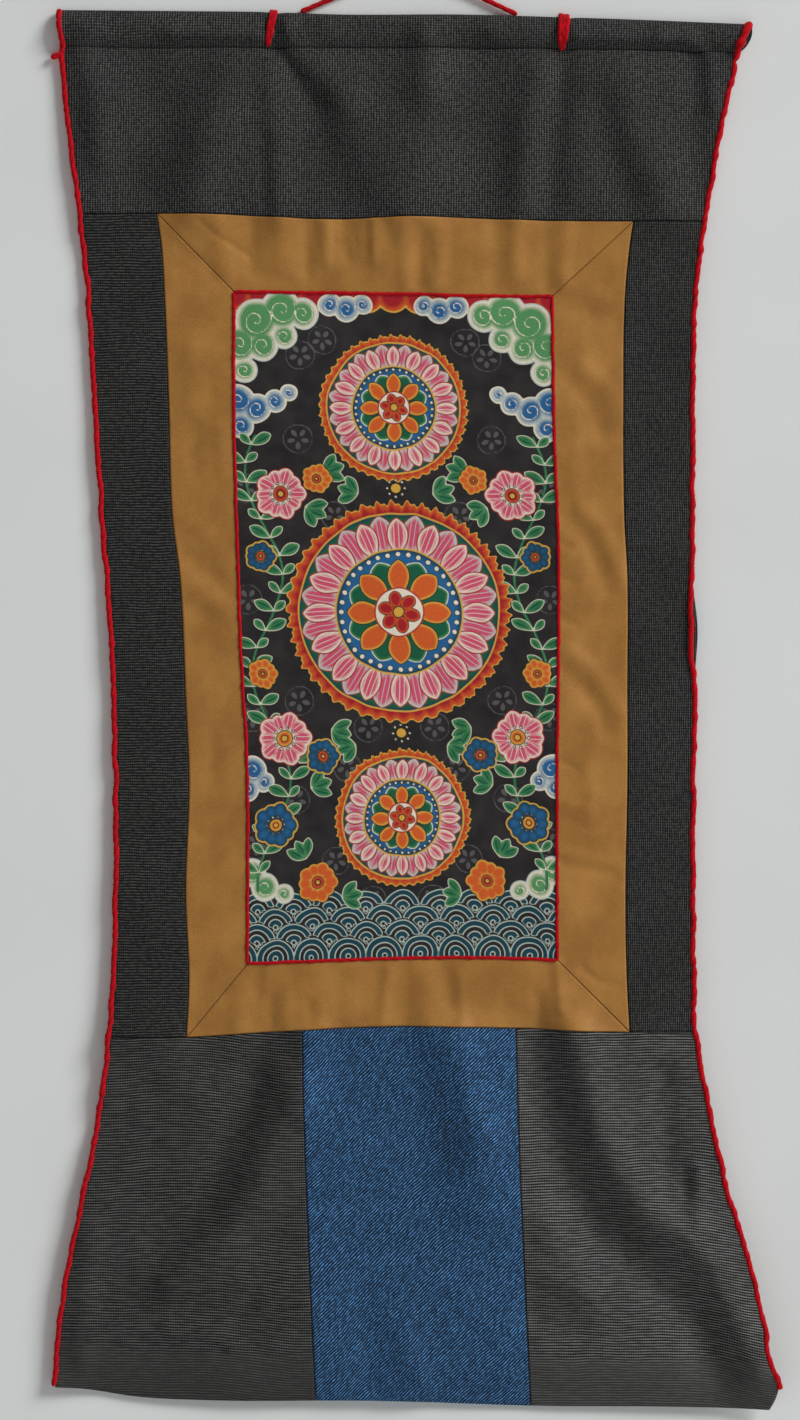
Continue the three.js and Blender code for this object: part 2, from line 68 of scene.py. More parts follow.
# Outlines and seams of the scroll, as in its solids
LEFT_EDGE = table(
    "drop x", (-3, -223.5), (16, -221.5), (56, -219), (95, -214), (173, -205), (251, -200),
    (329, -195), (407, -189), (485, -186.5), (563, -186), (641, -188.5), (699, -194.5),
    (738, -201), (816, -217), (855, -223), (892, -226),
)
RIGHT_EDGE = table(
    "drop x", (6, 226), (20, 220), (34, 215.5), (56, 211), (95, 203.5), (134, 197), (173, 191.5),
    (212, 189.5), (290, 189), (407, 189), (446, 190.5), (485, 189.5), (621, 189.5), (660, 190.5),
    (719, 201), (758, 209.5), (816, 226.5), (855, 235.5), (885, 241.5), (897, 243), (907, 241.5),
)
HEADING = table(
    "x top seam", (-222, -3.3, 21), (-140, -2.6, 21.3), (-88, -2, 21.5), (-40, -0.4, 21.5),
    (37, -0.4, 21.5), (100, 1.3, 22), (150, 2.9, 23), (222, 5.8, 24.5),
)
TOP_SEAM = table(
    "x drop", (-206, 129.7), (-159, 129.7), (-112, 130.7), (-45, 133.5), (12, 132), (93, 134.4),
    (150, 134.9), (196, 134.6),
)
BOTTOM_SEAM = table(
    "x drop", (-189, 665), (-140, 665), (-97, 662.4), (-39, 659), (12, 657.8), (81, 659.5),
    (148, 661.7), (190, 661.7),
)
LOWER_EDGE = table(
    "x drop", (-226, 892.5), (-209, 893.5), (-172, 899), (-122, 901.2), (-14, 901.6), (83, 905),
    (174, 905.5), (238, 907),
)
GOLD_SIDES = table(
    "drop left right", (130, -159.3, 151), (150, -156.5, 148), (183, -154.5, 145),
    (254, -151.8, 144), (326, -149.5, 144.5), (366, -144.5, 146.6), (446, -140.7, 146.6),
    (498, -138.5, 146.6), (573, -140.7, 145.3), (625, -138.5, 146), (665, -140, 148),
)
OPENING_SIDES = table(
    "drop left right", (180, -109.4, 97.5), (277, -109, 99), (347, -107, 101.6),
    (424, -104.3, 101.6), (480, -101, 100.8), (617, -100.4, 100.8),
)
OPENING_ENDS = table(
    "x top bottom", (-109, 180.4, 617.5), (-64, 181, 615.8), (0, 182, 613.6), (61, 183.4, 613.4),
    (101, 183.4, 614.9),
)
BLUE_SIDES = table(
    "drop left right", (657, -65, 74), (738, -63, 76), (816, -60, 79.3), (905, -56, 83.6),
)

# How far forward the cloth stands at its left edge, its middle and its right edge
HANG = table(
    "drop left middle right", (25, 0, 0, 0), (135, 1, 3, 2), (300, 2, 4, 3), (450, 3, 5, 3),
    (600, 4, 6, 4), (665, 5, 7, 5), (780, 6, 9, 8), (905, 6, 10, 12),
)
BOW_HALF_WIDTH = 205

# Folds: width, rise, and the x and drop of places along them. A ridge lies where the cloth turns
# from shade to light towards the right, and a trough where it turns from light to shade.
FOLDS = (
    (60, 3.8, (-150, 72), (150, 72)),
    (11, 3.4, (-208, 22), (-200, 50), (-195, 95)),
    (20, -3.6, (-168, 38), (-162, 62), (-162, 84), (-170, 108)),
    (18, 5.8, (-112, 38), (-122, 68), (-130, 95), (-132, 120)),
    (5, -1.1, (-90, 82), (-89, 126)),
    (10, 2.8, (-86, 38), (-81, 80), (-80, 124)),
    (7, -2.2, (-81, 23), (-73, 35), (-63, 48), (-57, 58)),
    (13, -1.8, (-60, 54), (-53, 70), (-51, 86)),
    (20, -2.0, (-54, 84), (-50, 100), (-40, 116)),
    (13, 3.4, (-68, 26), (-48, 42), (-36, 58)),
    (24, 4.0, (-34, 60), (-20, 90), (-4, 124)),
    (12, 4.6, (17, 22), (17, 50)),
    (22, 5.0, (12, 50), (8, 118)),
    (20, -2.6, (48, 24), (50, 60), (54, 118)),
    (12, 4.2, (88, 42), (82, 70), (77, 122)),
    (9, -2.2, (105, 27), (102, 55), (98, 85), (97, 122)),
    (13, 1.2, (118, 40), (116, 118)),
    (12, -1.8, (130, 60), (136, 90), (148, 118)),
    (18, 5.0, (143, 44), (151, 75), (163, 102), (170, 122)),
    (12, -3.0, (190, 28), (189, 60), (192, 118)),
    (6, 2.0, (200, 26), (202, 60)),
    (22, 1.6, (-150, 131), (150, 134)),
    (20, 1.2, (101, 200), (101, 600)),
    (15, 6.0, (-73, 702), (-86, 740), (-97, 770), (-114, 794), (-148, 822)),
    (15, -4.8, (-101, 694), (-116, 740), (-131, 775), (-158, 800)),
    (12, -3.4, (-194, 716), (-165, 700)),
    (12, 3.2, (-188, 664), (-150, 664)),
    (12, 4.4, (-60, 664), (-64, 712)),
    (10, -2.2, (-90, 668), (-93, 688)),
    (10, 3.0, (-203, 790), (-208, 872)),
    (7, 1.8, (-150, 858), (-130, 857), (-112, 864)),
    (26, 3.6, (-116, 826), (-66, 818)),
    (8, -1.8, (-88, 822), (-104, 846)),
    (8, 1.4, (-64, 836), (-84, 860)),
    (19, 6.4, (29, 668), (37, 700), (47, 730)),
    (10, 2.8, (38, 668), (45, 700), (55, 728)),
    (22, 4.0, (46, 730), (54, 772)),
    (12, -2.0, (-24, 840), (-20, 890)),
    (8, 1.8, (0, 855), (12, 890)),
    (8, -1.6, (80, 764), (83, 890)),
    (17, -7.4, (85, 668), (92, 700), (98, 730), (108, 760), (125, 785), (146, 805), (168, 828),
     (190, 850), (206, 875)),
    (15, 8.2, (116, 668), (122, 700), (131, 730), (144, 755), (160, 778), (190, 796), (206, 818),
     (216, 846), (231, 882)),
    (11, -3.4, (168, 690), (172, 740), (178, 762)),
    (5, -1.4, (184, 752), (183, 780)),
    (5, 1.6, (193, 752), (192, 786)),
    (12, 2.4, (84, 775), (104, 802), (122, 832)),
    (8, 1.8, (82, 813), (112, 828)),
    (24, -5.5, (-190, 908), (215, 912)),
    (26, -5.0, (30, 910), (228, 912)),
    (9, -1.8, (84, 846), (116, 856)),
)

# Where the threads of a cloth sag: width, how far, and the x and drop of places along it
SAGS = ((40, 10, (240, 770), (255, 890)), (45, 6, (-62, 845), (-60, 895)),
        (35, -3, (-147, 690), (-147, 740)), (40, 5, (-68, 680), (-64, 740)))

# Folds of the sleeve's front, in the same columns
SLEEVE_FOLDS = (
    (6, 3.4, (-75, 0), (-74, 20)), (5, -1.4, (-86, 6), (-89, 20)), (10, 3.8, (14, -2), (14, 24)),
    (9, -1.0, (41, -2), (42, 24)), (6, -2.0, (194, 8), (196, 26)), (5, 1.2, (112, 2), (112, 18)),
    (8, 1.4, (58, 4), (60, 18)), (6, 2.8, (-150, 14), (-88, 15)), (6, 2.4, (112, 16), (190, 18)),
    (6, 1.4, (168, 6), (166, 22)), (9, 2.0, (-210, 2), (-196, 18)), (8, 1.4, (-50, 4), (-46, 20)),
)

# Finer creases and puckers, in the same columns
CREASES = (
    (2.2, -0.6, (-131, 135), (-121, 144), (-112, 149), (-100, 157)),
    (7, 1.3, (-118, 137), (-116, 168)),
    (1.8, -0.35, (-57, 136), (-55, 152)),
    (1.8, -0.3, (-45, 136), (-44, 148)),
    (1.8, -0.35, (-33, 136), (-30, 150)),
    (1.8, -0.35, (-22, 136), (-22, 156)),
    (1.8, -0.3, (-9, 137), (-4, 148)),
    (2, -0.3, (18, 146), (20, 166)),
    (6, -1.2, (-98, 136), (-97, 165)),
    (7, 1.4, (-79, 136), (-78, 165)),
    (5, -1.3, (-61, 137), (-62, 168)),
    (5, 1.3, (-49, 137), (-49, 160)),
    (4, -0.7, (-38, 136), (-36, 158)),
    (4, 1.2, (-19, 136), (-18, 160)),
    (3.5, -0.6, (-11, 137), (-8, 150)),
    (5, 0.8, (1, 138), (2, 176)),
    (5, -1.2, (12, 140), (11, 176)),
    (6, 1.2, (25, 140), (22, 176)),
    (6, -1.0, (60, 138), (61, 172)),
    (6, 1.4, (74, 137), (75, 172)),
    (6, -1.0, (93, 137), (94, 176)),
    (6, 0.9, (106, 137), (104, 172)),
    (6, 1.2, (-105, 632), (-106, 656)),
    (4, -0.7, (-93, 622), (-94, 640)),
    (4, -0.9, (-85, 640), (-85, 656)),
    (5, 0.9, (-75, 640), (-75, 656)),
    (3.5, -0.6, (-60, 643), (-60, 656)),
    (4, 0.6, (-52, 643), (-52, 656)),
    (6, 0.7, (-34, 622), (-34, 652)),
    (4, 1.0, (-9, 622), (-13, 656)),
    (6, -0.8, (2, 622), (1, 656)),
    (7, 0.9, (17, 628), (17, 656)),
    (5, -0.9, (29, 622), (31, 642)),
    (3.5, 0.7, (38, 626), (39, 656)),
    (5, -0.5, (68, 640), (68, 656)),
    (4, -1.0, (88, 638), (89, 657)),
    (9, 1.4, (104, 640), (107, 658)),
    (3, 1.0, (100, 615), (102, 635), (103, 648)),
    (3, -0.7, (118, 621), (128, 629), (140, 631)),
    (5, -0.7, (-146, 152), (-128, 162), (-117, 175)),
    (7, 0.6, (-150, 172), (-132, 182)),
    (9, 0.9, (-136, 215), (-136, 255)),
    (6, -0.9, (-137, 268), (-134, 300)),
    (6, 0.8, (-118, 270), (-116, 300)),
    (7, 1.1, (-148, 327), (-132, 333), (-122, 345)),
    (6, -0.9, (-142, 352), (-126, 362), (-115, 372)),
    (6, 0.8, (-140, 368), (-127, 378), (-115, 388)),
    (6, -0.7, (-140, 384), (-130, 390)),
    (9, 0.7, (-138, 428), (-120, 440)),
    (7, -0.7, (-126, 465), (-122, 500)),
    (7, -0.6, (-138, 528), (-122, 543)),
    (6, -0.7, (-125, 612), (-133, 634)),
    (6, 0.6, (-112, 632), (-126, 652)),
    (6, 0.7, (108, 178), (138, 186)),
    (6, -0.7, (108, 192), (136, 200)),
    (6, -1.0, (108, 237), (124, 255), (130, 274)),
    (6, 1.1, (119, 230), (135, 245), (141, 263)),
    (6, 0.8, (112, 268), (113, 312)),
    (6, -1.2, (107, 328), (119, 342), (127, 358), (133, 376)),
    (6, 1.2, (117, 321), (129, 334), (137, 351), (143, 366)),
    (3, -0.5, (103, 344), (113, 348)),
    (3, -0.4, (103, 366), (113, 371)),
    (3, -0.5, (103, 393), (113, 397)),
    (6, -1.3, (103, 425), (116, 437), (126, 450), (133, 466)),
    (6, 1.3, (110, 415), (124, 427), (134, 440), (142, 454)),
    (2.5, -0.5, (103, 485), (114, 491)),
    (7, 1.0, (121, 488), (122, 530)),
    (4, 0.5, (103, 512), (121, 518)),
    (4, -0.5, (103, 522), (120, 528)),
    (4, 0.6, (104, 545), (122, 549), (139, 552)),
    (4, -0.7, (104, 552), (122, 556), (138, 560)),
    (3.0, -0.9, (-80, 24), (-66, 44)),
    (3.0, -0.4, (104, 28), (102, 62)),
    (4.0, -0.5, (5, 662), (4, 676)),
    (3.0, -0.7, (184, 784), (208, 806)),
    (3.0, 0.5, (178, 786), (200, 812)),
    (4.0, -0.6, (-152, 866), (-136, 858), (-118, 868)),
)

# Slow unevenness of hand-sewn cloth: waves of many lengths and directions, their rise, and the
# drops between which they set in
UNEVEN_WAVES = 18
UNEVEN_LENGTHS = (38, 150)
UNEVEN_RISE = 0.16
UNEVEN_FROM = (30, 70)

# Seams and edges: how deep the front curls in there, and over what width
SEWN = (0.7, 0.55)
BOUND = (0.55, 0.9)
HEMMED = (0.6, 1.3)
ALL_SEWN = dict.fromkeys(("left", "right", "top", "bottom"), SEWN)

# Room left between cloths that are sewn together, and from the edging yarn's middle line
SEAM_ROOM = 0.04
EDGE_INSET = 0.7

# The turned-in cloth at the back of every seam: its width and thickness
ALLOWANCE = 11
ALLOWANCE_RISE = 0.7

# The lower hem: how far its line of stitches is above the lower edge, its depth and its width
HEM_DEPTH = 31
HEM_LINE = (0.35, 1.4)

# Grids: the narrow band of close steps along every edge, and how much coarser a back is
EDGE_BAND = 3.0
EDGE_STEPS = 8
COARSER = 2
PAINTED_COARSER = 4

# Bake maps: the boxes of a sheet's front, back and rim, the gap round a tile, and where the rims
# of the sleeve's two ends start in their box and how far they run
FRONT_BOX = (0.004, 0.36, 0.996, 0.996)
BACK_BOX = (0.004, 0.04, 0.996, 0.35)
RIM_BOX = (0.004, 0.008, 0.996, 0.03)
TILE_GAP = 0.01
SLEEVE_RIM_STARTS = (0.004, 0.504)
SLEEVE_RIM_RUN = 0.49

# Bake maps of yarn: the corner and size of its wall's box, the part of a row that its wall fills,
# and the middles and radius of its two ends
WALL_BOX = ((0.01, 0.03), (0.97, 0.96))
WALL_ROW = (0.03, 0.94)
END_PLACES = ((0.01, 0.012), (0.04, 0.012))
END_RADIUS = 0.006

# Dark cloths: the threads that run across and those that run down, each how far apart they are,
# their share of the light, how long an even stretch of one is and how light its faint stretches
# are, and then how light the whole cloth is
LOW_RIBS = ((1.74, 1.0, 9, 0.55), (1.5, 0.25, 2.6, 0.5))
DARK_CLOTHS = {
    "dark_canvas": ((1.49, 0.42, 2.6, 0.35), (1.68, 0.68, 2.6, 0.35), 0.42),
    "dark_ribs_left": ((1.8, 1.0, 3.4, 0.4), (1.4, 0.3, 2, 0.3), 0.255),
    "dark_ribs_right": ((1.78, 0.5, 3, 0.4), (1.4, 1.0, 3.6, 0.4), 0.24),
    "dark_ribs_low_left": (*LOW_RIBS, 0.4),
    # The lower right copy is lighter than the lower left one: painted sheen, for the light that
    # falls from the right
    "dark_ribs_low_right": (*LOW_RIBS, 0.61),
}

# The blue twill: how steep its lines are, the length of a stitch along them, and the width and
# length of an even stretch of a thread that runs down
TWILL_ANGLE = 43
TWILL_STITCH = 2.4
TWILL_WARP = (2.2, 11)

# Distance between threads of the gold cloth and of the painted one
GOLD_WEAVE = 0.7
PAINTED_WEAVE = 0.9

# Rod sleeve, as in the solids: section, and how far its back runs on at the right end
SLEEVE_DEPTH = 13
SLEEVE_SET_BACK = 1
SLEEVE_NIP = 0.55
SLEEVE_BACK_RUN = 6
# How far its back comes forward there, as an empty sleeve shuts, and from what share along it
SLEEVE_SHUT = (1.6, 0.9)
SLEEVE_SIDES = 56
SLEEVE_STEP = 1.6

# Each tie's place on the sleeve's top edge and at its seam, how wide apart its outer strands are at
# the top, how thick one is, and the angle that it reaches round the sleeve
TIES = {
    "tie_left": (-83.5, -87.5, 2.6, 2.7, 0.86 * math.pi),
    "tie_right": (105.5, 104, 4.2, 3.6, 0.96 * math.pi),
}
TIE_PULL = 0.8
TIE_PULL_WIDTH = 5

# Hanging cord, as in the solids: its feet, the bend at its top and its room over the cloth
CORD_FEET = (-66, 75)
CORD_TOP_X = 6
CORD_TOP_RISE = 32
CORD_BEND_RADIUS = 8
CORD_GAP = -0.8

# Where an edging yarn leaves its line: drop, width, how far out, and how much thicker
EDGE_JOGS = {
    "edge_yarn_left": ((27, 4, -0.6, 0.15),),
    "edge_yarn_right": ((14, 13, 0, 0.5), (30.5, 2.2, -1.0, -0.42), (39, 7, 1.6, 0),
                        (401, 27, -1.4, 0), (868, 9, -1.8, 0), (890, 7, 2.4, 0.15),
                        (909, 6, -2.4, 0)),
}

# Where the right edging lies on the cloth, not along its edge: drop, width, how far the cloth
# runs out past it, and how far forward the yarn then lies
EDGE_STRAY = (401, 27, 5.4, 1.6)

# Loose yarn ends: the x, y and z of places along them
LOOSE_ENDS = {"edge_yarn_left": ((-220.5, -1, -26), (-224, -1.6, -26.6), (-228.5, -1.2, -28))}

# Yarn: over what length it wanders from its line, and over what length it swells
WANDER_REACH = 17
SWELL_REACH = 5

# Loose fibres: the least and greatest length, the thickness, and how far they lean
FIBRE_LENGTHS = (0.7, 1.9)
FIBRE_THICKNESS = 0.11
FIBRE_LEAN = 0.9

# Distance between places along piping, edging, ties and cord, and how many places their lines
# are first worked out at
YARN_STEPS = {"piping": 0.7, "edging": 0.75, "ties": 0.6, "cord": 0.7}
LINE_PLACES = {"piping": 500, "edging": 900, "ties": 60}

# How far piping sinks into the cloth, and what share of its thickness a tie does
PIPING_SINK = 0.1
TIE_SINK = 0.4

# A distance to a seam or hem where there is none
FAR = 99

# Lights: place and size in metres. Floor and wall: a corner and two sides. The wall stands almost
# straight behind the scroll, a little nearer at its left and at its foot
WINDOW = ((8.2, -5.4, 6.5), 4.5)
BEHIND = ((-0.9, 1.6, 0.3), 1.6)
FLOOR = ((-6, -6, -1.05), (12, 0, 0), (0, 12, 0))
WALL = ((-3, -0.0112, -1.05), (6, 0.027, 0), (0, 0.0029, 3))

# Size of the painted cloth's drawing
PAINTED_WIDTH = 205
PAINTED_HEIGHT = 433

# Where the edging yarn starts and ends on each side
EDGE_YARNS = {"edge_yarn_left": (-3, 892), "edge_yarn_right": (6, 893)}


class ThangkaCloth(bpy.types.PropertyGroup):
    """Sizes and colours of the cloth."""

    thickness: FloatProperty(
        name="Thickness", description="Thickness of every cloth", default=0.0014, unit="LENGTH")
    facet: FloatProperty(
        name="Facet", description="Distance between places on a cloth's front", default=0.0017,
        unit="LENGTH")
    paint_facet: FloatProperty(
        name="Painted facet", description="Distance between places on the painted cloth",
        default=0.00108, unit="LENGTH")
    twill: FloatProperty(
        name="Twill", description="Distance between lines of the blue twill", default=0.00162,
        unit="LENGTH")
    dark: FloatVectorProperty(
        name="Dark", description="Ground of the dark cloth", subtype="COLOR",
        default=srgb(8, 8, 8))
    dark_thread: FloatVectorProperty(
        name="Dark thread", description="Light threads of the dark cloth", subtype="COLOR",
        default=srgb(142, 141, 139))
    gold: FloatVectorProperty(
        name="Gold", description="Gold border", subtype="COLOR", default=srgb(175, 123, 55))
    gold_shade: FloatVectorProperty(
        name="Gold shade", description="Darker blotches of the gold border", subtype="COLOR",
        default=srgb(147, 98, 39))
    blue: FloatVectorProperty(
        name="Blue", description="Ground of the blue twill", subtype="COLOR",
        default=srgb(2, 7, 21))
    blue_thread: FloatVectorProperty(
        name="Blue thread", description="Light threads of the blue twill", subtype="COLOR",
        default=srgb(106, 178, 250))


class ThangkaYarn(bpy.types.PropertyGroup):
    """Sizes and colours of the yarn."""

    edging: FloatProperty(
        name="Edging", description="Diameter of the edging yarn", default=0.0037, unit="LENGTH")
    piping: FloatProperty(
        name="Piping", description="Diameter of the piping", default=0.0023, unit="LENGTH")
    cord: FloatProperty(
        name="Cord", description="Diameter of the hanging cord", default=0.0034, unit="LENGTH")
    lay: FloatProperty(
        name="Lay", description="Length of one full twist", default=0.021, unit="LENGTH")
    plies: IntProperty(name="Plies", description="Strands twisted together", default=3, min=2)
    # Painted light and shade of the twist: the yarn is this red on the crowns of its plies and the
    # groove red in the grooves between them
    red: FloatVectorProperty(
        name="Red", description="Crowns of the yarn", subtype="COLOR", default=srgb(204, 3, 22))
    deep_red: FloatVectorProperty(
        name="Deep red", description="Grooves of the yarn", subtype="COLOR",
        default=srgb(138, 0, 12))


class ThangkaPaint(bpy.types.PropertyGroup):
    """Colours of the painted cloth."""


PAINTS = {
    "ground": (30, 27, 27), "ash": (88, 86, 86), "cream": (238, 226, 205), "pale": (196, 205, 196),
    "crimson": (168, 22, 34), "ember": (214, 92, 34), "rose": (212, 82, 112),
    "emerald": (10, 92, 62), "leaf": (86, 148, 92), "sky": (34, 98, 150), "teal": (16, 62, 78),
    "gold": (222, 170, 66), "cotton": (196, 182, 152),
}
for paint_name, levels in PAINTS.items():
    ThangkaPaint.__annotations__[paint_name] = FloatVectorProperty(
        name=paint_name.title(), description=f"The {paint_name} paint", subtype="COLOR",
        default=srgb(*levels))


class ThangkaStage(bpy.types.PropertyGroup):
    """Camera, light and surroundings."""

    distance: FloatProperty(
        name="Distance", description="From the camera to the scroll", default=3.0, unit="LENGTH")
    frame_height: FloatProperty(
        name="Frame height", description="Height that the picture takes in", default=0.923,
        unit="LENGTH")
    aim: FloatVectorProperty(
        name="Aim", description="Place in the middle of the picture", subtype="XYZ",
        default=(-0.0013, -0.004, -0.4524), unit="LENGTH")
    key: FloatProperty(
        name="Key", description="Power of the window light", default=1350.0, unit="POWER")
    fill: FloatProperty(
        name="Fill", description="Power of the light behind", default=16.0, unit="POWER")
    sky: FloatProperty(name="Sky", description="Strength of the light all round", default=0.16)
    wall: FloatVectorProperty(
        name="Wall", description="Backdrop and floor", subtype="COLOR",
        default=srgb(226, 228, 227))


# The hang of the cloth

# Rounds that find where two lines meet
CORNER_ROUNDS = 8


def curve(rows, at, value):
    """Smooth line through one column of a table: cubic stretches whose slope at each row is the
    mean of the two beside it, running on straight past both ends."""
    knots, values = rows[at], rows[value]
    rises = np.diff(values) / np.diff(knots)
    slopes = (np.append(rises[:1], rises) + np.append(rises, rises[-1:])) / 2

    def line(t):
        t = np.asarray(t, float)
        inside = np.clip(t, knots[0], knots[-1])
        i = np.clip(np.searchsorted(knots, inside, "right") - 1, 0, len(knots) - 2)
        span = knots[i + 1] - knots[i]
        s = (inside - knots[i]) / span
        start = (1 + 2 * s) * (1 - s) ** 2 * values[i] + s * (1 - s) ** 2 * span * slopes[i]
        end = s * s * (3 - 2 * s) * values[i + 1] + s * s * (s - 1) * span * slopes[i + 1]
        return start + end + (t - inside) * np.where(t < inside, slopes[0], slopes[-1])

    return line


def curves(rows):
    """Smooth lines through every column of a table after its first."""
    at, *values = rows
    return [curve(rows, at, value) for value in values]


left_edge, = curves(LEFT_EDGE)
right_edge, = curves(RIGHT_EDGE)
heading_top, heading_seam = curves(HEADING)
top_seam, = curves(TOP_SEAM)
bottom_seam, = curves(BOTTOM_SEAM)
lower_edge, = curves(LOWER_EDGE)
gold_left, gold_right = curves(GOLD_SIDES)
opening_left, opening_right = curves(OPENING_SIDES)
opening_top, opening_bottom = curves(OPENING_ENDS)
blue_left, blue_right = curves(BLUE_SIDES)
hang_left, hang_middle, hang_right = curves(HANG)


def moved(line, by):
    """The same line, moved."""
    return lambda t: line(t) + by


def jogged(line, jogs):
    """The same line, moved out in soft bumps."""
    return lambda t: line(t) + sum(
        out * np.exp(-(((t - at) / width) ** 2)) for at, width, out, _ in jogs)


yarn_left = jogged(left_edge, EDGE_JOGS["edge_yarn_left"])
yarn_right = jogged(right_edge, EDGE_JOGS["edge_yarn_right"])
cloth_left = moved(yarn_left, EDGE_INSET)
cloth_right = jogged(moved(yarn_right, -EDGE_INSET), (EDGE_STRAY,))


def distance_to(path, x, drop):
    """Distance from each place to the nearest point of a path of straight stretches."""
    nearest = np.full(np.shape(x), np.inf)
    for (x0, drop0), (x1, drop1) in zip(path, path[1:]):
        run_x, run_drop = x1 - x0, drop1 - drop0
        along = ((x - x0) * run_x + (drop - drop0) * run_drop) / (run_x**2 + run_drop**2)
        along = np.clip(along, 0, 1)
        there = np.hypot(x - x0 - along * run_x, drop - drop0 - along * run_drop)
        nearest = np.minimum(nearest, there)
    return nearest


def folded(rows, x, drop):
    """Sum of soft ridges and troughs: each row's rise, times exp(-(distance / width)^2)."""
    total = np.zeros(np.shape(x))
    for width, rise, *path in rows:
        total += rise * np.exp(-((distance_to(path, x, drop) / width) ** 2))
    return total


def uneven(x, drop, count, lengths, rise, seed):
    """Unevenness: sines of drawn lengths, directions and starts, added up."""
    draw = np.random.default_rng(seed)
    total = np.zeros(np.shape(x))
    for _ in range(count):
        length, heading = draw.uniform(*lengths), draw.uniform(0, 2 * math.pi)
        run = x * math.cos(heading) + drop * math.sin(heading)
        total += rise * np.sin(2 * math.pi * run / length + draw.uniform(0, 2 * math.pi))
    return total


def forward(x, drop):
    """How far forward the middle of the cloth stands: a parabola across its width through the
    hang of its left edge, middle and right edge, with folds, creases and slow waves added."""
    x, drop = np.broadcast_arrays(np.asarray(x, float), np.asarray(drop, float))
    side = x / BOW_HALF_WIDTH
    left, middle, right = hang_left(drop), hang_middle(drop), hang_right(drop)
    bow = middle + (right - left) / 2 * side + ((left + right) / 2 - middle) * side**2
    start, full = UNEVEN_FROM
    below_heading = np.clip((drop - start) / (full - start), 0, 1)
    waves = uneven(x, drop, UNEVEN_WAVES, UNEVEN_LENGTHS, UNEVEN_RISE, 3)
    return bow + folded(FOLDS, x, drop) + folded(CREASES, x, drop) + waves * below_heading


def corner(side, end):
    """Where a line that runs down meets a line that runs across, found in a few rounds."""
    x = side(end(0.0))
    for _ in range(CORNER_ROUNDS):
        x = side(end(x))
    return x, end(x)


def blend(start, end, share):
    """A value part of the way from one to another."""
    return start + (end - start) * share


def panel(left, right, top, bottom):
    """Cloth between two lines that run down and two that run across: each row's drop is a blend
    of the end lines, and each place across it a blend of the side lines at that drop."""
    top_left, top_right = corner(left, top)[0], corner(right, top)[0]
    low_left, low_right = corner(left, bottom)[0], corner(right, bottom)[0]

    def place(u, v):
        drop = blend(top(blend(top_left, top_right, u)), bottom(blend(low_left, low_right, u)), v)
        return blend(left(drop), right(drop), u), drop

    return place


def across_line(end, left, right):
    """The stretch of a line across, from one side line to the other."""
    start, stop = corner(left, end)[0], corner(right, end)[0]
    return lambda t: (blend(start, stop, t), end(blend(start, stop, t)))


def down_line(side, top, bottom):
    """The stretch of a line down, from one end line to the other."""
    start, stop = corner(side, top)[1], corner(side, bottom)[1]
    return lambda t: (side(blend(start, stop, t)), blend(start, stop, t))


def mitred_strip(outer, inner):
    """A border strip: straight runs from the outer line to the inner one at equal shares of both,
    so that its ends are the mitres."""

    def place(along, inwards):
        (x0, drop0), (x1, drop1) = outer(along), inner(along)
        return blend(x0, x1, inwards), blend(drop0, drop1, inwards)

    return place


# Meshes


def spaced(length, pitch, coarser):
    """Shares of a length, close together in a band at both ends and a pitch apart between, as
    many as a coarser grid divides."""
    edge = EDGE_BAND * (np.arange(EDGE_STEPS) / EDGE_STEPS) ** 2
    steps = max(1, round((length - 2 * EDGE_BAND) / pitch / coarser)) * coarser
    inner = np.linspace(EDGE_BAND, length - EDGE_BAND, steps + 1)
    return np.concatenate([edge, inner, length - edge[::-1]]) / length


def quads(rows):
    """Corners of the quads between the rows of a grid of point numbers."""
    return np.stack([rows[:-1, :-1], rows[1:, :-1], rows[1:, 1:], rows[:-1, 1:]], -1).reshape(-1, 4)


def tiled(u, v, box, cuts):
    """Bake places of faces from their corners' shares of a sheet. The sheet is cut into tiles,
    which fill a box of the map: cuts across are stacked, and cuts down lie side by side."""
    low_x, low_y, high_x, high_y = box
    across, down = cuts
    i = np.floor(u.mean(1, keepdims=True) * across)
    j = np.floor(v.mean(1, keepdims=True) * down)
    x, y = u * across - i, v * down - j
    if down > 1:
        x = (j + TILE_GAP + (1 - 2 * TILE_GAP) * x) / down
    if across > 1:
        y = (i + TILE_GAP + (1 - 2 * TILE_GAP) * y) / across
    return np.stack([blend(low_x, high_x, x), blend(high_y, low_y, y)], -1)


def rim_of(grid):
    """Point numbers round the edge of a grid, clockwise from its first corner."""
    return np.concatenate([grid[0, :-1], grid[:-1, -1], grid[-1, :0:-1], grid[:0:-1, 0]])


def edge_gaps(place, u, v):
    """Distance of each place on a sheet from its four edges."""
    width = np.hypot(*np.subtract(place(1 + 0 * v, v), place(0 * v, v)))
    height = np.hypot(*np.subtract(place(u, 1 + 0 * u), place(u, 0 * u)))
    return {"left": u * width, "right": (1 - u) * width,
            "top": v * height, "bottom": (1 - v) * height}


def sheet_rim(front_grid, back_grid, coarser):
    """Many-sided faces from the edge of a sheet's front to that of its coarser back, and their
    bake places."""
    fine, rough = rim_of(front_grid), rim_of(back_grid)
    stretch = np.arange(len(rough))
    steps = (stretch[:, None] * coarser + np.arange(coarser + 1)) % len(fine)
    faces = np.column_stack([fine[steps], rough[(stretch + 1) % len(rough)], rough])
    share = np.linspace(0, 1, coarser + 1)
    along = (stretch[:, None] + np.concatenate([share, [1, 0]])) / len(rough)
    side = np.concatenate([0 * share, [1, 1]]) + 0 * along
    low_x, low_y, high_x, high_y = RIM_BOX
    return faces, np.stack([blend(low_x, high_x, along), blend(low_y, high_y, side)], -1)


def both_sides(front, coarser):
    """Values on a sheet's front as one list, and again at the places of its coarser back."""
    sides = front, front[::coarser, ::coarser]
    return np.concatenate([side.reshape(-1, *front.shape[2:]) for side in sides])


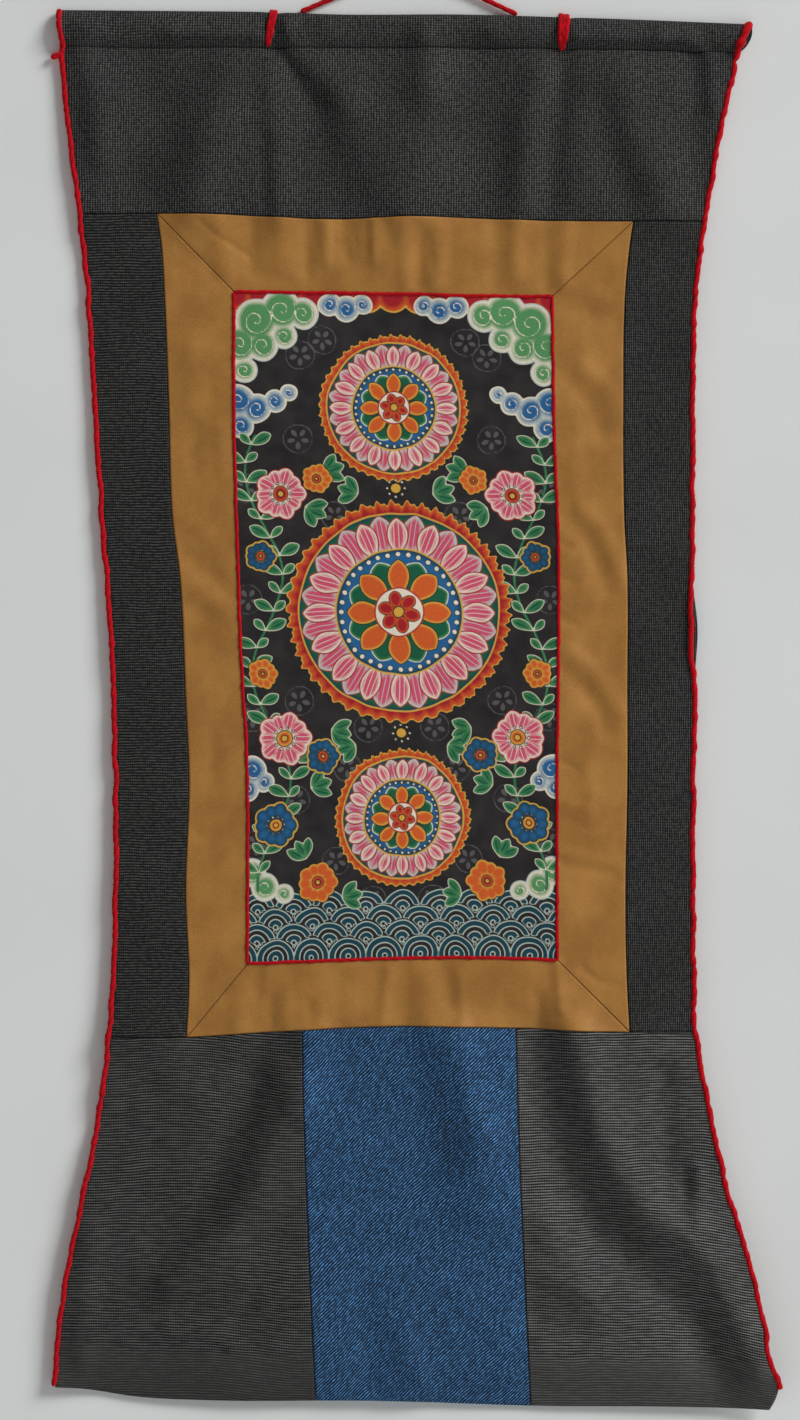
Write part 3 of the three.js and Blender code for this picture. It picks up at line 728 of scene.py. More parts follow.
def sheet_shape(place, edges, pitch, thickness, cuts=(1, 1), drawn=None):
    """A closed sheet of cloth. Its front is a grid that stands half its thickness before the hang
    of the cloth and curls in at each edge by depth * exp(-(distance / width)^2). Its back is a
    coarser grid half its thickness behind, thicker along the seams, and many-sided faces close
    the rim between them."""
    coarser = COARSER if drawn is None else PAINTED_COARSER
    ends = np.array([0.0, 0.5, 1.0])
    across = np.hypot(*np.diff(place(ends, 0.5 + 0 * ends))).sum()
    down = np.hypot(*np.diff(place(0.5 + 0 * ends, ends))).sum()
    u, v = np.meshgrid(spaced(across, pitch, coarser), spaced(down, pitch, coarser))
    x, drop = place(u, v)
    gaps, far = edge_gaps(place, u, v), 0 * u + FAR
    # Distance to the nearest sewn edge: for the turned-in cloth, and for the painted shade along
    # the seams
    seam = np.minimum.reduce([far] + [gaps[side] for side in edges if edges[side] == SEWN])
    hem = gaps["bottom"] if edges["bottom"] == HEMMED else far
    dip = sum(d * np.exp(-((gaps[side] / w) ** 2)) for side, (d, w) in edges.items())
    dip = dip + HEM_LINE[0] * np.exp(-(((hem - HEM_DEPTH) / HEM_LINE[1]) ** 2))
    double = np.minimum(seam - ALLOWANCE, hem - HEM_DEPTH)
    turned = ALLOWANCE_RISE / (1 + np.exp(np.clip(double * 2, -30, 30)))
    hang = forward(x, drop)
    front = np.stack([x, -hang - thickness / 2 + dip, -drop], -1)
    back = np.stack([x, -hang + thickness / 2 + turned, -drop], -1)[::coarser, ::coarser]
    front_grid = np.arange(u.size).reshape(u.shape)
    back_grid = u.size + np.arange(back[..., 0].size).reshape(back.shape[:2])
    front_faces, back_faces = quads(front_grid), quads(back_grid)[:, ::-1]
    rim_faces, rim_places = sheet_rim(front_grid, back_grid, coarser)
    share_u, share_v = both_sides(u, coarser), both_sides(v, coarser)
    places = [tiled(share_u[faces], share_v[faces], box, cuts)
              for faces, box in ((front_faces, FRONT_BOX), (back_faces, BACK_BOX))]
    cloth = both_sides(np.stack([x, drop - folded(SAGS, x, drop), 1 + 0 * x], -1), coarser)
    cloth[u.size:, 2] = 0
    levels = {"seam": seam, "hem": hem, **(drawn(u, v) if drawn else {})}
    fields = {name: both_sides(level, coarser) for name, level in levels.items()}
    return {"points": np.concatenate([front.reshape(-1, 3), back.reshape(-1, 3)]),
            "faces": [front_faces, back_faces, rim_faces], "places": [*places, rim_places],
            "fields": {"cloth": cloth, **fields}}


def smooth_wander(along, seed, size, reach):
    """A line that wanders: sines of unlike lengths and starts, added."""
    draw = np.random.default_rng(seed)
    starts, spread = draw.uniform(0, 2 * math.pi, 5), draw.uniform(0.7, 1.4, 5)
    waves = [np.sin(2 * math.pi * along / (reach * s * (1 + k / 2)) + start)
             for k, (start, s) in enumerate(zip(starts, spread))]
    return size * sum(waves) / len(waves)


def unit(vectors):
    """The same directions, each of length 1."""
    return vectors / np.linalg.norm(vectors, axis=1, keepdims=True)


def strand_places(along, diameter, sides):
    """Bake places of a strand's wall, cut into rows that lie side by side, and of its two ends."""
    rows = max(1, round(math.sqrt(along[-1] / (diameter * math.pi))))
    s = np.repeat(along / along[-1], sides + 1).reshape(-1, sides + 1) * rows
    t = np.tile(np.arange(sides + 1) / sides, (len(along), 1))
    corners = quads(np.arange(s.size).reshape(s.shape))
    corner_s, corner_t = s.ravel()[corners], t.ravel()[corners]
    row = np.floor(corner_s.mean(1, keepdims=True))
    share = np.stack([corner_s - row, (row + WALL_ROW[0] + WALL_ROW[1] * corner_t) / rows], -1)
    angle = 2 * math.pi * np.arange(sides) / sides
    rim = END_RADIUS * np.stack([np.cos(angle), np.sin(angle)], -1)
    return [WALL_BOX[0] + np.multiply(WALL_BOX[1], share), np.array(END_PLACES)[:, None] + rim]


def strand_shape(path, diameter, yarn, up, seed=0, wander=0.0, fuzz=0, sides=15, swell=0.14,
                 girth=1.0, groove=0.05):
    """Twisted yarn along a path: a tube whose radius dips in a groove between each pair of plies,
    1 - groove * (1 - cos(plies * (angle - turn))) / 2, with turn growing along the path, and
    with rounded ends. Loose fibres are thin three-sided spikes that stand off it."""
    along = np.concatenate([[0], np.cumsum(np.hypot.reduce(np.diff(path, axis=0), axis=1))])
    tangent = unit(np.gradient(path, axis=0))
    side = unit(up - (tangent @ np.asarray(up, float))[:, None] * tangent)
    other = np.cross(tangent, side)
    middle = path + smooth_wander(along, seed, wander, WANDER_REACH)[:, None] * other
    radius = diameter / 2 * (1 + smooth_wander(along, seed + 1, 2 * swell, SWELL_REACH)) * girth
    from_end = np.minimum(along, along[-1] - along) / (diameter / 2)
    radius = radius * np.sqrt(np.clip(1 - (1 - np.clip(from_end, 0.02, 1)) ** 2, 0, 1))
    angle = 2 * math.pi * np.arange(sides) / sides
    turn = 2 * math.pi * along[:, None] / (yarn.lay / MM)
    crown = (1 + np.cos(yarn.plies * (angle - turn))) / 2
    reach = radius[:, None] * (1 - groove * (1 - crown))
    around = np.cos(angle)[:, None] * side[:, None, :] + np.sin(angle)[:, None] * other[:, None, :]
    points = middle[:, None, :] + reach[..., None] * around
    rings = np.arange(len(path) * sides).reshape(-1, sides)
    rings = np.column_stack([rings, rings[:, 0]])
    ends = np.stack([rings[0, :-1], rings[-1, -2::-1]])
    shape = {"points": points.reshape(-1, 3), "faces": [quads(rings), ends],
             "places": strand_places(along, diameter, sides), "fields": {"crown": crown.ravel()}}
    if fuzz:
        add_fibres(shape, middle, radius, around, tangent, fuzz, seed)
    return shape


def add_fibres(shape, middle, radius, around, tangent, count, seed):
    """Adds loose fibres to a yarn: closed spikes of three sides, each leaning along the yarn."""
    draw = np.random.default_rng(seed + 7)
    ring = draw.integers(3, len(middle) - 3, count)
    spoke = draw.integers(0, around.shape[1], count)
    outward = around[ring, spoke]
    lean = draw.normal(0, FIBRE_LEAN, count)[:, None] * tangent[ring]
    heading = unit(outward + lean)
    across = unit(np.cross(heading, tangent[ring] + 0.3 * outward))
    upright = np.cross(heading, across)
    foot = middle[ring] + 0.75 * radius[ring, None] * outward
    length = draw.uniform(*FIBRE_LENGTHS, count)[:, None]
    base = [foot + FIBRE_THICKNESS * (math.cos(a) * across + math.sin(a) * upright)
            for a in (0, 2 * math.pi / 3, 4 * math.pi / 3)]
    spikes = np.stack(base + [foot + length * heading], 1)
    first = len(shape["points"]) + 4 * np.arange(count)[:, None]
    sides = (0, 1, 3), (1, 2, 3), (2, 0, 3), (0, 2, 1)
    faces = np.concatenate([first + np.array(side) for side in sides])
    at = draw.uniform(0.1, 0.98, (len(faces), 1, 1)) * (1, 0)
    shape["points"] = np.concatenate([shape["points"], spikes.reshape(-1, 3)])
    shape["faces"].append(faces)
    shape["places"].append(at + np.array([(0, 0.004), (0.004, 0.004), (0.002, 0.012)]))
    shape["fields"]["crown"] = np.append(shape["fields"]["crown"], np.full(4 * count, 0.9))


def joined(*shapes):
    """Several shapes as one, with their bake places side by side."""
    counts = np.cumsum([0] + [len(s["points"]) for s in shapes])
    share = 1 / len(shapes)
    return {
        "points": np.concatenate([s["points"] for s in shapes]),
        "faces": [f + n for s, n in zip(shapes, counts) for f in s["faces"]],
        "places": [(p * (1, share * 0.98) + (0, share * i)) for i, s in enumerate(shapes)
                   for p in s["places"]],
        "fields": {k: np.concatenate([s["fields"][k] for s in shapes])
                   for k in shapes[0]["fields"]},
    }


def add_piece(name, shape, material, slot, *nodes):
    """Puts a shape into a mesh, with its bake map and fields, as a piece that stands for nodes."""
    mesh = bpy.data.meshes.new(name)
    corners = np.concatenate([f.ravel() for f in shape["faces"]])
    sizes = np.concatenate([np.full(len(f), f.shape[1]) for f in shape["faces"]])
    places = np.concatenate([p.reshape(-1, 2) for p in shape["places"]])
    mesh.vertices.add(len(shape["points"]))
    mesh.vertices.foreach_set("co", (shape["points"] * MM).astype(np.float32).ravel())
    mesh.loops.add(len(corners))
    mesh.loops.foreach_set("vertex_index", corners.astype(np.int32))
    mesh.polygons.add(len(sizes))
    mesh.polygons.foreach_set("loop_start", (np.cumsum(sizes) - sizes).astype(np.int32))
    mesh.polygons.foreach_set("use_smooth", np.ones(len(sizes), bool))
    mesh.update(calc_edges=True)
    if mesh.validate():
        raise RuntimeError(f"{name} has faces that don't hold together")
    mesh.uv_layers.new(name="OFBake").uv.foreach_set("vector", places.astype(np.float32).ravel())
    for key, values in shape["fields"].items():
        wide = values.ndim == 2
        attribute = mesh.attributes.new(key, "FLOAT_VECTOR" if wide else "FLOAT", "POINT")
        attribute.data.foreach_set("vector" if wide else "value", values.astype(np.float32).ravel())
    mesh.materials.append(material)
    piece = bpy.data.objects.new(name, mesh)
    bpy.context.scene.collection.objects.link(piece)
    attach(piece, BODY)
    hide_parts(*nodes)
    return piece


def flat_area(place):
    """Width, length and area, in metres, of a cloth before it hung: sums over a grid of it."""
    ends = np.linspace(0, 1, 60)
    u, v = np.meshgrid(ends, ends)
    x, drop = place(u, v)
    du = np.gradient(x, axis=1), np.gradient(drop, axis=1)
    dv = np.gradient(x, axis=0), np.gradient(drop, axis=0)
    area = np.abs(du[0] * dv[1] - du[1] * dv[0])[:-1, :-1].sum()
    width, length = np.ptp(x), np.ptp(drop)
    return width * MM, length * MM, area * MM * MM


# Materials


class Shade:
    """A value in a material: a socket whose arithmetic adds Math nodes."""

    def __init__(self, tree, socket):
        self.tree = tree
        self.socket = socket

    def node(self, kind, settings=None, inputs=None, output=0):
        """Adds a node: its settings first, then the values or links of its sockets."""
        made = self.tree.nodes.new(kind)
        for key, value in (settings or {}).items():
            setattr(made, key, value)
        for key, value in (inputs or {}).items():
            if isinstance(value, Shade):
                self.tree.links.new(value.socket, made.inputs[key])
            else:
                made.inputs[key].default_value = value
        return Shade(self.tree, made.outputs[output])

    def math(self, operation, *values):
        return self.node("ShaderNodeMath", {"operation": operation}, dict(enumerate(values)))

    def __add__(self, other):
        return self.math("ADD", self, other)

    def __sub__(self, other):
        return self.math("SUBTRACT", self, other)

    def __rsub__(self, other):
        return self.math("SUBTRACT", other, self)

    def __mul__(self, other):
        return self.math("MULTIPLY", self, other)

    def __truediv__(self, other):
        return self.math("DIVIDE", self, other)

    def __rtruediv__(self, other):
        return self.math("DIVIDE", other, self)

    __radd__ = __add__
    __rmul__ = __mul__

    def size(self):
        return self.math("ABSOLUTE", self)

    def wave(self, pitch):
        """Sine of the value, up and down once in a pitch, as 0 to 1."""
        return self.math("SINE", self * (2 * math.pi / pitch)) * 0.5 + 0.5

    def steps(self, low, high, start=0.0, end=1.0):
        """Smooth step from start to end as the value goes from low to high."""
        return self.node(
            "ShaderNodeMapRange", {"interpolation_type": "SMOOTHSTEP"},
            {"Value": self, "From Min": low, "From Max": high, "To Min": start, "To Max": end})

    def mix(self, low, high):
        """A colour between two, by this value."""
        return self.node("ShaderNodeMix", {"data_type": "RGBA"},
                         {0: self, 6: colour(low), 7: colour(high)}, 2)

    def vector(self, y, z=0.0):
        return self.node("ShaderNodeCombineXYZ", None, {0: self, 1: y, 2: z})

    def noise(self, detail, roughness):
        """Soft random values, 0 to 1, at this vector."""
        return self.node("ShaderNodeTexNoise", None, {
            "Vector": self, "Scale": 1.0, "Detail": detail, "Roughness": roughness})


def colour(value):
    """A colour as a socket takes it: a linked one as it is, and three numbers with alpha."""
    return value if isinstance(value, Shade) else (*value, 1.0)


def new_material(name, roughness, shine=0.5, sheen=0.0):
    """A material with a constant roughness, shine and sheen, and a first value to work from."""
    material = bpy.data.materials.new(name)
    material.use_nodes = True
    tree = material.node_tree
    shader = tree.nodes["Principled BSDF"]
    shader.inputs["Roughness"].default_value = roughness
    shader.inputs["Specular IOR Level"].default_value = shine
    shader.inputs["Sheen Weight"].default_value = sheen
    return material, Shade(tree, None), shader


def finish(start, shader, base, roughness=None, height=None, relief=0.0002, strength=0.5):
    """Links a colour, a roughness and a bump of some relief to a material's shader."""
    start.tree.links.new(base.socket, shader.inputs["Base Color"])
    if roughness is not None:
        start.tree.links.new(roughness.socket, shader.inputs["Roughness"])
    if height is not None:
        bump = start.node("ShaderNodeBump", None,
                          {"Strength": strength, "Distance": relief, "Height": height})
        start.tree.links.new(bump.socket, shader.inputs["Normal"])


def cloth_places(start):
    """A cloth's own places, in millimetres: across, down, and 1 on its front."""
    where = start.node("ShaderNodeAttribute", {"attribute_name": "cloth"}, None, "Vector")
    return [start.node("ShaderNodeSeparateXYZ", None, {0: where}, i) for i in range(3)]


def field(start, name):
    """A field that was worked out with the mesh."""
    return start.node("ShaderNodeAttribute", {"attribute_name": name}, None, "Fac")


def patches(x, y, width, height, layer=0.0, detail=1.0, roughness=0.5):
    """Soft random values, 0 to 1, in patches of about a width and a height, other ones in each
    layer."""
    return (x / width).vector(y / height, layer).noise(detail, roughness)


def seamed(start, base, width, strength, dark):
    """A colour with painted shade along the seams: it turns dark over a width from them."""
    return field(start, "seam").steps(0.0, width, strength, 0.0).mix(base, dark)


def threads(along, across, pitch, share, run, faint):
    """Threads side by side: rounded ribs a pitch apart, and how light they are, uneven along
    each one in stretches of about a run, down to a faint level. Both are times a share."""
    rib = across.wave(pitch)
    streak = patches(along, across, run, pitch)
    return rib * share, rib.steps(0.35, 0.9) * streak.steps(0.34, 0.62, faint, 1.0) * share


def shared(make, name, *settings):
    """A material by its name, made when first asked for."""
    return bpy.data.materials.get(name) or make(name, *settings)


def dark_cloth(name, cloth, across, down, light):
    """Charcoal cloth: light threads that run across and threads that run down, each a pitch, a
    share, a run and a faint level, over a dark ground with slow blotches, duller in its hem, and
    with painted shade that darkens it along its seams."""
    material, start, shader = new_material(name, 0.95, shine=0.15)
    x, y, _ = cloth_places(start)
    bend = patches(x, y, 27, 31) * 2.4
    ribs, lying = threads(x, y + bend, *across)
    cords, standing = threads(y, x + bend, *down)
    blotch = patches(x, y, 40, 40, layer=3.0, detail=3.0)
    level = (lying + standing) * (blotch * 0.5 + 0.75) * light
    hem = field(start, "hem").steps(HEM_DEPTH - 4, HEM_DEPTH + 4, 0.5, 0.0)
    level = level * (1 - hem) + hem * (0.4 * light)
    base = level.mix(cloth.dark, cloth.dark_thread)
    # Painted shade: the colour turns dark along the seams
    base = seamed(start, base, 0.9, 0.75, (0.003, 0.003, 0.003))
    finish(start, shader, base, None, ribs + cords, 0.00015, 0.3)
    return material


def gold_cloth(name, cloth):
    """Plain gold cloth with a soft sheen: slow blotches, a fine weave and painted shade along the
    seams.
    """
    material, start, shader = new_material(name, 0.62, shine=0.3, sheen=0.12)
    across, down, _ = cloth_places(start)
    blotch = patches(across, down, 26, 34, layer=5.0, detail=4.0, roughness=0.6)
    fleck = patches(across, down, 1.1, 1.4, layer=1.0, detail=2.0)
    level = blotch.steps(0.3, 0.72) * 0.7 + fleck.steps(0.3, 0.7) * 0.4
    base = level.mix(cloth.gold_shade, cloth.gold)
    # Painted shade: the gold turns dark brown along the seams
    base = seamed(start, base, 0.45, 0.8, (0.012, 0.006, 0.002))
    weave = across.wave(GOLD_WEAVE) + down.wave(GOLD_WEAVE)
    finish(start, shader, base, blotch.steps(0.3, 0.7, 0.7, 0.56), weave + fleck, 0.00008, 0.3)
    return material


def blue_twill(name, cloth):
    """Blue twill: light stitches along lines that rise to the right, broken up and mixed in
    strength thread by thread, on a deep blue ground."""
    material, start, shader = new_material(name, 0.9, shine=0.2, sheen=0.1)
    across, down, _ = cloth_places(start)
    pitch = cloth.twill / MM
    steep = math.radians(TWILL_ANGLE)
    rise, run = math.sin(steep), math.cos(steep)
    bend = patches(across, down, 12, 12, layer=8.0) * 2.0
    over = across * rise + down * run + bend
    along = across * run - down * rise
    line = over.wave(pitch)
    stitch = patches(along, over, TWILL_STITCH, pitch)
    warp = patches(across, down, *TWILL_WARP, layer=2.0)
    blotch = patches(across, down, 30, 30, layer=4.0, detail=3.0)
    level = line.steps(0.4, 0.98) * stitch.steps(0.3, 0.7, 0.34, 1.04)
    level = level * warp.steps(0.3, 0.7, 0.62, 1.06)
    base = (level * 0.76 + blotch * 0.02).mix(cloth.blue, cloth.blue_thread)
    # Painted shade: the blue turns dark along the seams
    base = seamed(start, base, 0.9, 0.8, (0.002, 0.003, 0.006))
    finish(start, shader, base, None, line * stitch, 0.00005, 0.2)
    return material


def red_yarn(name, yarn):
    """Fuzzy red yarn, uneven along its length, with painted shade and light of its twist: deep red
    in the grooves between its plies and bright red on their crowns.
    """
    material, start, shader = new_material(name, 0.9, shine=0.15, sheen=0.06)
    where = start.node("ShaderNodeTexCoord", None, None, "Object")
    fibre = start.node("ShaderNodeTexNoise", None,
                       {"Vector": where, "Scale": 1500.0, "Detail": 2.0})
    slow = start.node("ShaderNodeTexNoise", None, {"Vector": where, "Scale": 90.0})
    # Painted shade: the crown field makes the yarn darker in the grooves between its plies
    level = field(start, "crown") * 0.3 + fibre * 0.4 + slow * 0.4
    base = level.steps(0.1, 0.95).mix(yarn.deep_red, yarn.red)
    finish(start, shader, base, None, fibre, 0.0002, 0.4)
    return material


def painted_cloth(name, paint):
    """Painted cotton: each layer of the drawing is laid over those before it where its field is
    below zero, shaded from its rim inwards, with a line drawn along its edge. The back is bare."""
    material, start, shader = new_material(name, 0.6, shine=0.25)
    across, down, front = cloth_places(start)
    blotch = patches(across, down, 14, 14, layer=6.0, detail=3.0)
    base = blotch.steps(0.3, 0.75).mix(paint.ground, tuple(2.2 * v for v in paint.ground))
    for layer, (inner, rim, depth, line, width) in LAYERS.items():
        level = field(start, layer)
        tone = ((blotch - 0.5) * (0.5 * depth) - level).steps(0.0, depth)
        fill = tone.mix(getattr(paint, rim), getattr(paint, inner))
        if layer in VEINED:
            vein = field(start, layer + "_rib").wave(VEINED[layer])
            fill = (vein.steps(0.8, 1.0) * 0.7).mix(fill, getattr(paint, rim))
        base = level.steps(0.25, -0.25).mix(base, fill)
        if width:
            edge = (level.size() - width).steps(0.25, -0.25)
            base = (edge * 0.9).mix(base, getattr(paint, line))
    grain = patches(across, down, 1.3, 1.3, layer=2.0, detail=2.0)
    base = (grain.steps(0.35, 0.8) * 0.16).mix(base, paint.ground)
    base = front.mix(paint.cotton, base)
    # Painted shade: the painted cloth turns dark along its seams
    base = seamed(start, base, 0.7, 0.8, (0.004, 0.003, 0.003))
    weave = across.wave(PAINTED_WEAVE) + down.wave(PAINTED_WEAVE)
    finish(start, shader, base, None, weave, 0.00008, 0.3)
    return material


# The drawing on the painted cloth


def lens(t, n, start, stop, half):
    """A petal between two distances along its middle line: the overlap of two circles, fuller
    towards its outer end. Below zero inside."""
    share = np.clip((t - start) / (stop - start), 0, None)
    t = np.where(t > start, start + (stop - start) * share**1.25, t)
    reach = (stop - start) / 2
    radius = (reach**2 + half**2) / (2 * half)
    return np.hypot(t - (start + stop) / 2, np.abs(n) + radius - half) - radius


def spokes(p, q, count, turn):
    """Places folded into one of a number of equal sectors: along its middle line, and across."""
    sector = 2 * math.pi / count
    angle = (np.arctan2(q, p) - turn * sector + sector / 2) % sector - sector / 2
    return np.hypot(p, q) * np.cos(angle), np.hypot(p, q) * np.sin(angle)


def petals(p, q, count, turn, start, stop, half):
    """A ring of petals, and the distance from each one's middle line."""
    t, n = spokes(p, q, count, turn)
    return lens(t, n, start, stop, half), n


def beads(p, q, count, turn, at, radius):
    """A ring of dots."""
    t, n = spokes(p, q, count, turn)
    return np.hypot(t - at, n) - radius, n


def disc(p, q, radius):
    """A round patch."""
    return np.hypot(p, q) - radius, p


def hoop(p, q, radius, half):
    """A round line."""
    return np.abs(np.hypot(p, q) - radius) - half, p


def burst(p, q, radius, count, tongue):
    """A round patch whose rim runs in small tongues that lean to one side."""
    angle = np.arctan2(q, p) * count
    lick = np.sin(angle + 0.8 * np.sin(angle)) + 0.4 * np.sin(2.03 * angle + 1)
    return np.hypot(p, q) - radius - tongue * lick, p


def scroll(p, q, radius, half):
    """A line that winds outwards from the middle of a cloud's lobe."""
    away, pitch = np.hypot(p, q), radius * 0.46
    wind = (away / pitch - np.arctan2(q, p) / (2 * math.pi)) % 1
    level = np.minimum(wind, 1 - wind) * pitch - half
    return np.where(away < radius * 0.74, level, 9.0), p


def leaf(p, q, heading, length, half):
    """A leaf from its stalk outwards, and the distance from its rib."""
    turn = math.radians(heading)
    t, n = p * math.cos(turn) + q * math.sin(turn), q * math.cos(turn) - p * math.sin(turn)
    return lens(t, n, 0, length, half), n


def stem(p, q, half, *path):
    """A stroke along a path."""
    return distance_to(path, p, q) - half, p


def scallops(p, q, pitch, radius):
    """A row of round tabs."""
    return np.hypot((p + pitch / 2) % pitch - pitch / 2, q) - radius, p


def scales(p, q, pitch, rows, rise):
    """Rows of round scales, each row before the one above it: rings of each scale in turn."""
    rings = np.full(p.shape, 9.0)
    for row in range(rows):
        x = (p + pitch / 2 * (row % 2 + 1)) % pitch - pitch / 2
        away = np.hypot(x, q - row * rise)
        above = (away < pitch * 0.56)
        rings = np.where(above, (np.cos(2 * math.pi * away / (pitch * 0.28)) - 0.1) * 1.2, rings)
    return rings, p


# Layers of the drawing, from the ground up: colour inside, colour at the rim, how deep the
# shading from one to the other goes, and the line along its edge with half its width
LAYERS = {
    "sprig": ("ash", "ash", 1.0, "ash", 0.0),
    "valance": ("crimson", "ember", 5.0, "gold", 0.6),
    "wave": ("teal", "emerald", 1.0, "pale", 0.35),
    "cloud": ("leaf", "cream", 4.5, "pale", 0.5),
    "mist": ("sky", "pale", 4.5, "cream", 0.5),
    "curl": ("cream", "cream", 1.0, "cream", 0.0),
    "vine": ("leaf", "emerald", 1.0, "ground", 0.0),
    "leaves": ("emerald", "leaf", 2.4, "cream", 0.22),
    "tongues": ("crimson", "ember", 6.0, "gold", 0.45),
    "dark": ("emerald", "teal", 4.0, "gold", 0.6),
    "under": ("rose", "pale", 4.2, "crimson", 0.4),
    "over": ("rose", "cream", 3.6, "crimson", 0.45),
    "blue": ("sky", "teal", 5.0, "gold", 0.6),
    "bead": ("cream", "cream", 1.0, "ground", 0.25),
    "green": ("emerald", "leaf", 2.6, "cream", 0.35),
    "orange": ("ember", "gold", 2.6, "ground", 0.35),
    "white": ("cream", "cream", 2.0, "crimson", 0.5),
    "red": ("crimson", "ember", 2.2, "ground", 0.3),
    "yellow": ("gold", "gold", 1.0, "ground", 0.35),
}

# Layers with veins along their petals, and how far apart the veins are
VEINED = {"leaves": 2.4, "under": 3.0, "over": 3.0}


def mandala():
    """A lotus mandala: rows of layer, shape and sizes, for a radius of about 70 mm."""
    return (
        ("tongues", burst, 71, 46, 1.7), ("dark", disc, 64.5),
        ("under", petals, 16, 0.5, 36, 64, 8.2), ("over", petals, 16, 0, 36, 62, 6.6),
        ("blue", disc, 41), ("bead", beads, 36, 0, 37.5, 1.7),
        ("green", petals, 8, 0.5, 11, 34.5, 8.6), ("orange", petals, 8, 0, 9, 34, 7.4),
        ("white", disc, 15.5), ("red", petals, 6, 0.25, 2, 14, 4.2), ("yellow", disc, 3.6),
    )


def blossom(rim, heart):
    """A flower: two rings of petals in one layer's colours round a heart in another's."""
    return (
        (rim, petals, 5, 0.5, 3, 16.5, 5.6), (rim, petals, 5, 0, 3, 15, 5.2), (heart, disc, 4.6),
        ("bead", beads, 10, 0, 6.2, 0.9), ("yellow", disc, 1.9),
    )


SIZED = {"disc": (0,), "hoop": (0, 1), "burst": (0, 2), "petals": (2, 3, 4), "beads": (2, 3)}


def scaled(rows, size):
    """The same rows with their lengths multiplied."""
    return [
        (layer, shape, *(n * size if k in SIZED[shape.__name__] else n
                         for k, n in enumerate(numbers)))
        for layer, shape, *numbers in rows
    ]


def drawing_rows():
    """All that is drawn: a centre, whether it is mirrored, and the rows drawn there."""
    rows = [((0, -9), False, scaled(mandala(), 1.0)), ((0, -142), False, scaled(mandala(), 0.66)),
            ((0, 125), False, scaled(mandala(), 0.62))]
    for centre, size, rim, heart in (
        ((74, -86), 1.05, "over", "red"), ((77, 72), 1.1, "over", "orange"),
        ((52, 84), 0.72, "blue", "red"), ((56, 166), 0.85, "orange", "red"),
        ((84, 128), 0.9, "blue", "orange"), ((50, -96), 0.62, "orange", "red"),
        ((88, -46), 0.62, "blue", "red"), ((89, 30), 0.62, "orange", "red"),
    ):
        rows.append((centre, True, scaled(blossom(rim, heart), size)))
    for centre in ((0, -90), (0, 70)):
        rows.append((centre, False, [("yellow", disc, 3.4), ("red", disc, 2.2),
                                     ("bead", beads, 8, 0, 5.6, 1.0)]))
    rows.append(((0, -215), False, [("valance", scallops, 17, 10.5)]))
    rows.append(((0, 184), False, [("wave", scales, 24, 4, 10)]))
    discs = {
        "cloud": ((58, -203, 10), (72, -205, 13), (88, -198, 14), (99, -183, 12), (84, -182, 10),
                  (70, -188, 8), (96, -166, 8), (100, 158, 9), (91, 168, 9), (78, 172, 6)),
        "mist": ((100, -146, 10), (88, -141, 9), (76, -146, 7), (67, -152, 5), (98, -130, 8),
                 (99, 92, 9), (102, 104, 7), (91, 100, 6), (30, -206, 8), (20, -209, 6),
                 (41, -209, 7)),
    }
    for layer, places in discs.items():
        for x, y, radius in places:
            rows.append(((x, y), True, [(layer, disc, radius), ("curl", scroll, radius, 0.4)]))
    sway = [(85 + 11 * math.sin(y / 21), y) for y in range(-124, 176, 6)]
    rows.append(((0, 0), True, [("vine", stem, 0.9, *sway)]))
    for k, (x, y) in enumerate(sway[1:-1:2]):
        side = 1 if k % 2 else -1
        rows.append(((x, y), True, [("leaves", leaf, -90 + side * 62, 15, 3.4),
                                    ("leaves", leaf, -90 - side * 48, 10, 2.6)]))
    for x, y, heading in (
        (46, -100, 200), (46, 66, 160), (60, 104, 200), (40, 176, 190), (58, -78, 150),
        (64, 150, 300), (68, 88, 250), (30, 77, 20), (24, -86, -20),
    ):
        rows.append(((x, y), True, [("leaves", leaf, heading + lean, 14, 3.4)
                                    for lean in (-38, 0, 38)]))
    for centre in (
        (62, -122), (40, -72), (66, 48), (36, 92), (70, 112), (44, 152), (97, -90), (97, 58),
        (97, -18), (60, -176), (97, 140), (22, 66), (20, 178), (46, -186),
    ):
        rows.append((centre, True, [("sprig", petals, 5, 0.25, 1.5, 7, 1.5),
                                    ("sprig", hoop, 9, 0.4)]))
    return rows


def drawing(u, v):
    """Fields of the drawing over the painted cloth, by its shares: each layer's distance from its
    nearest edge, below zero inside, and for layers with veins the distance from a middle line.
    The places waver a little first, as a hand does."""
    p, q = (u - 0.5) * PAINTED_WIDTH, (v - 0.5) * PAINTED_HEIGHT
    p, q = p + uneven(p, q, 9, (14, 50), 0.13, 5), q + uneven(p, q, 9, (14, 50), 0.13, 6)
    fields = {layer: np.full(p.shape, 50.0) for layer in LAYERS}
    fields.update({layer + "_rib": np.zeros(p.shape) for layer in VEINED})
    for (x, y), mirrored, rows in drawing_rows():
        across, down = (np.abs(p) if mirrored else p) - x, q - y
        for layer, shape, *numbers in rows:
            level, rib = shape(across, down, *numbers)
            if layer in VEINED:
                ribs = layer + "_rib"
                fields[ribs] = np.where(level < fields[layer], rib, fields[ribs])
            fields[layer] = np.minimum(fields[layer], level)
    return fields


# Operators


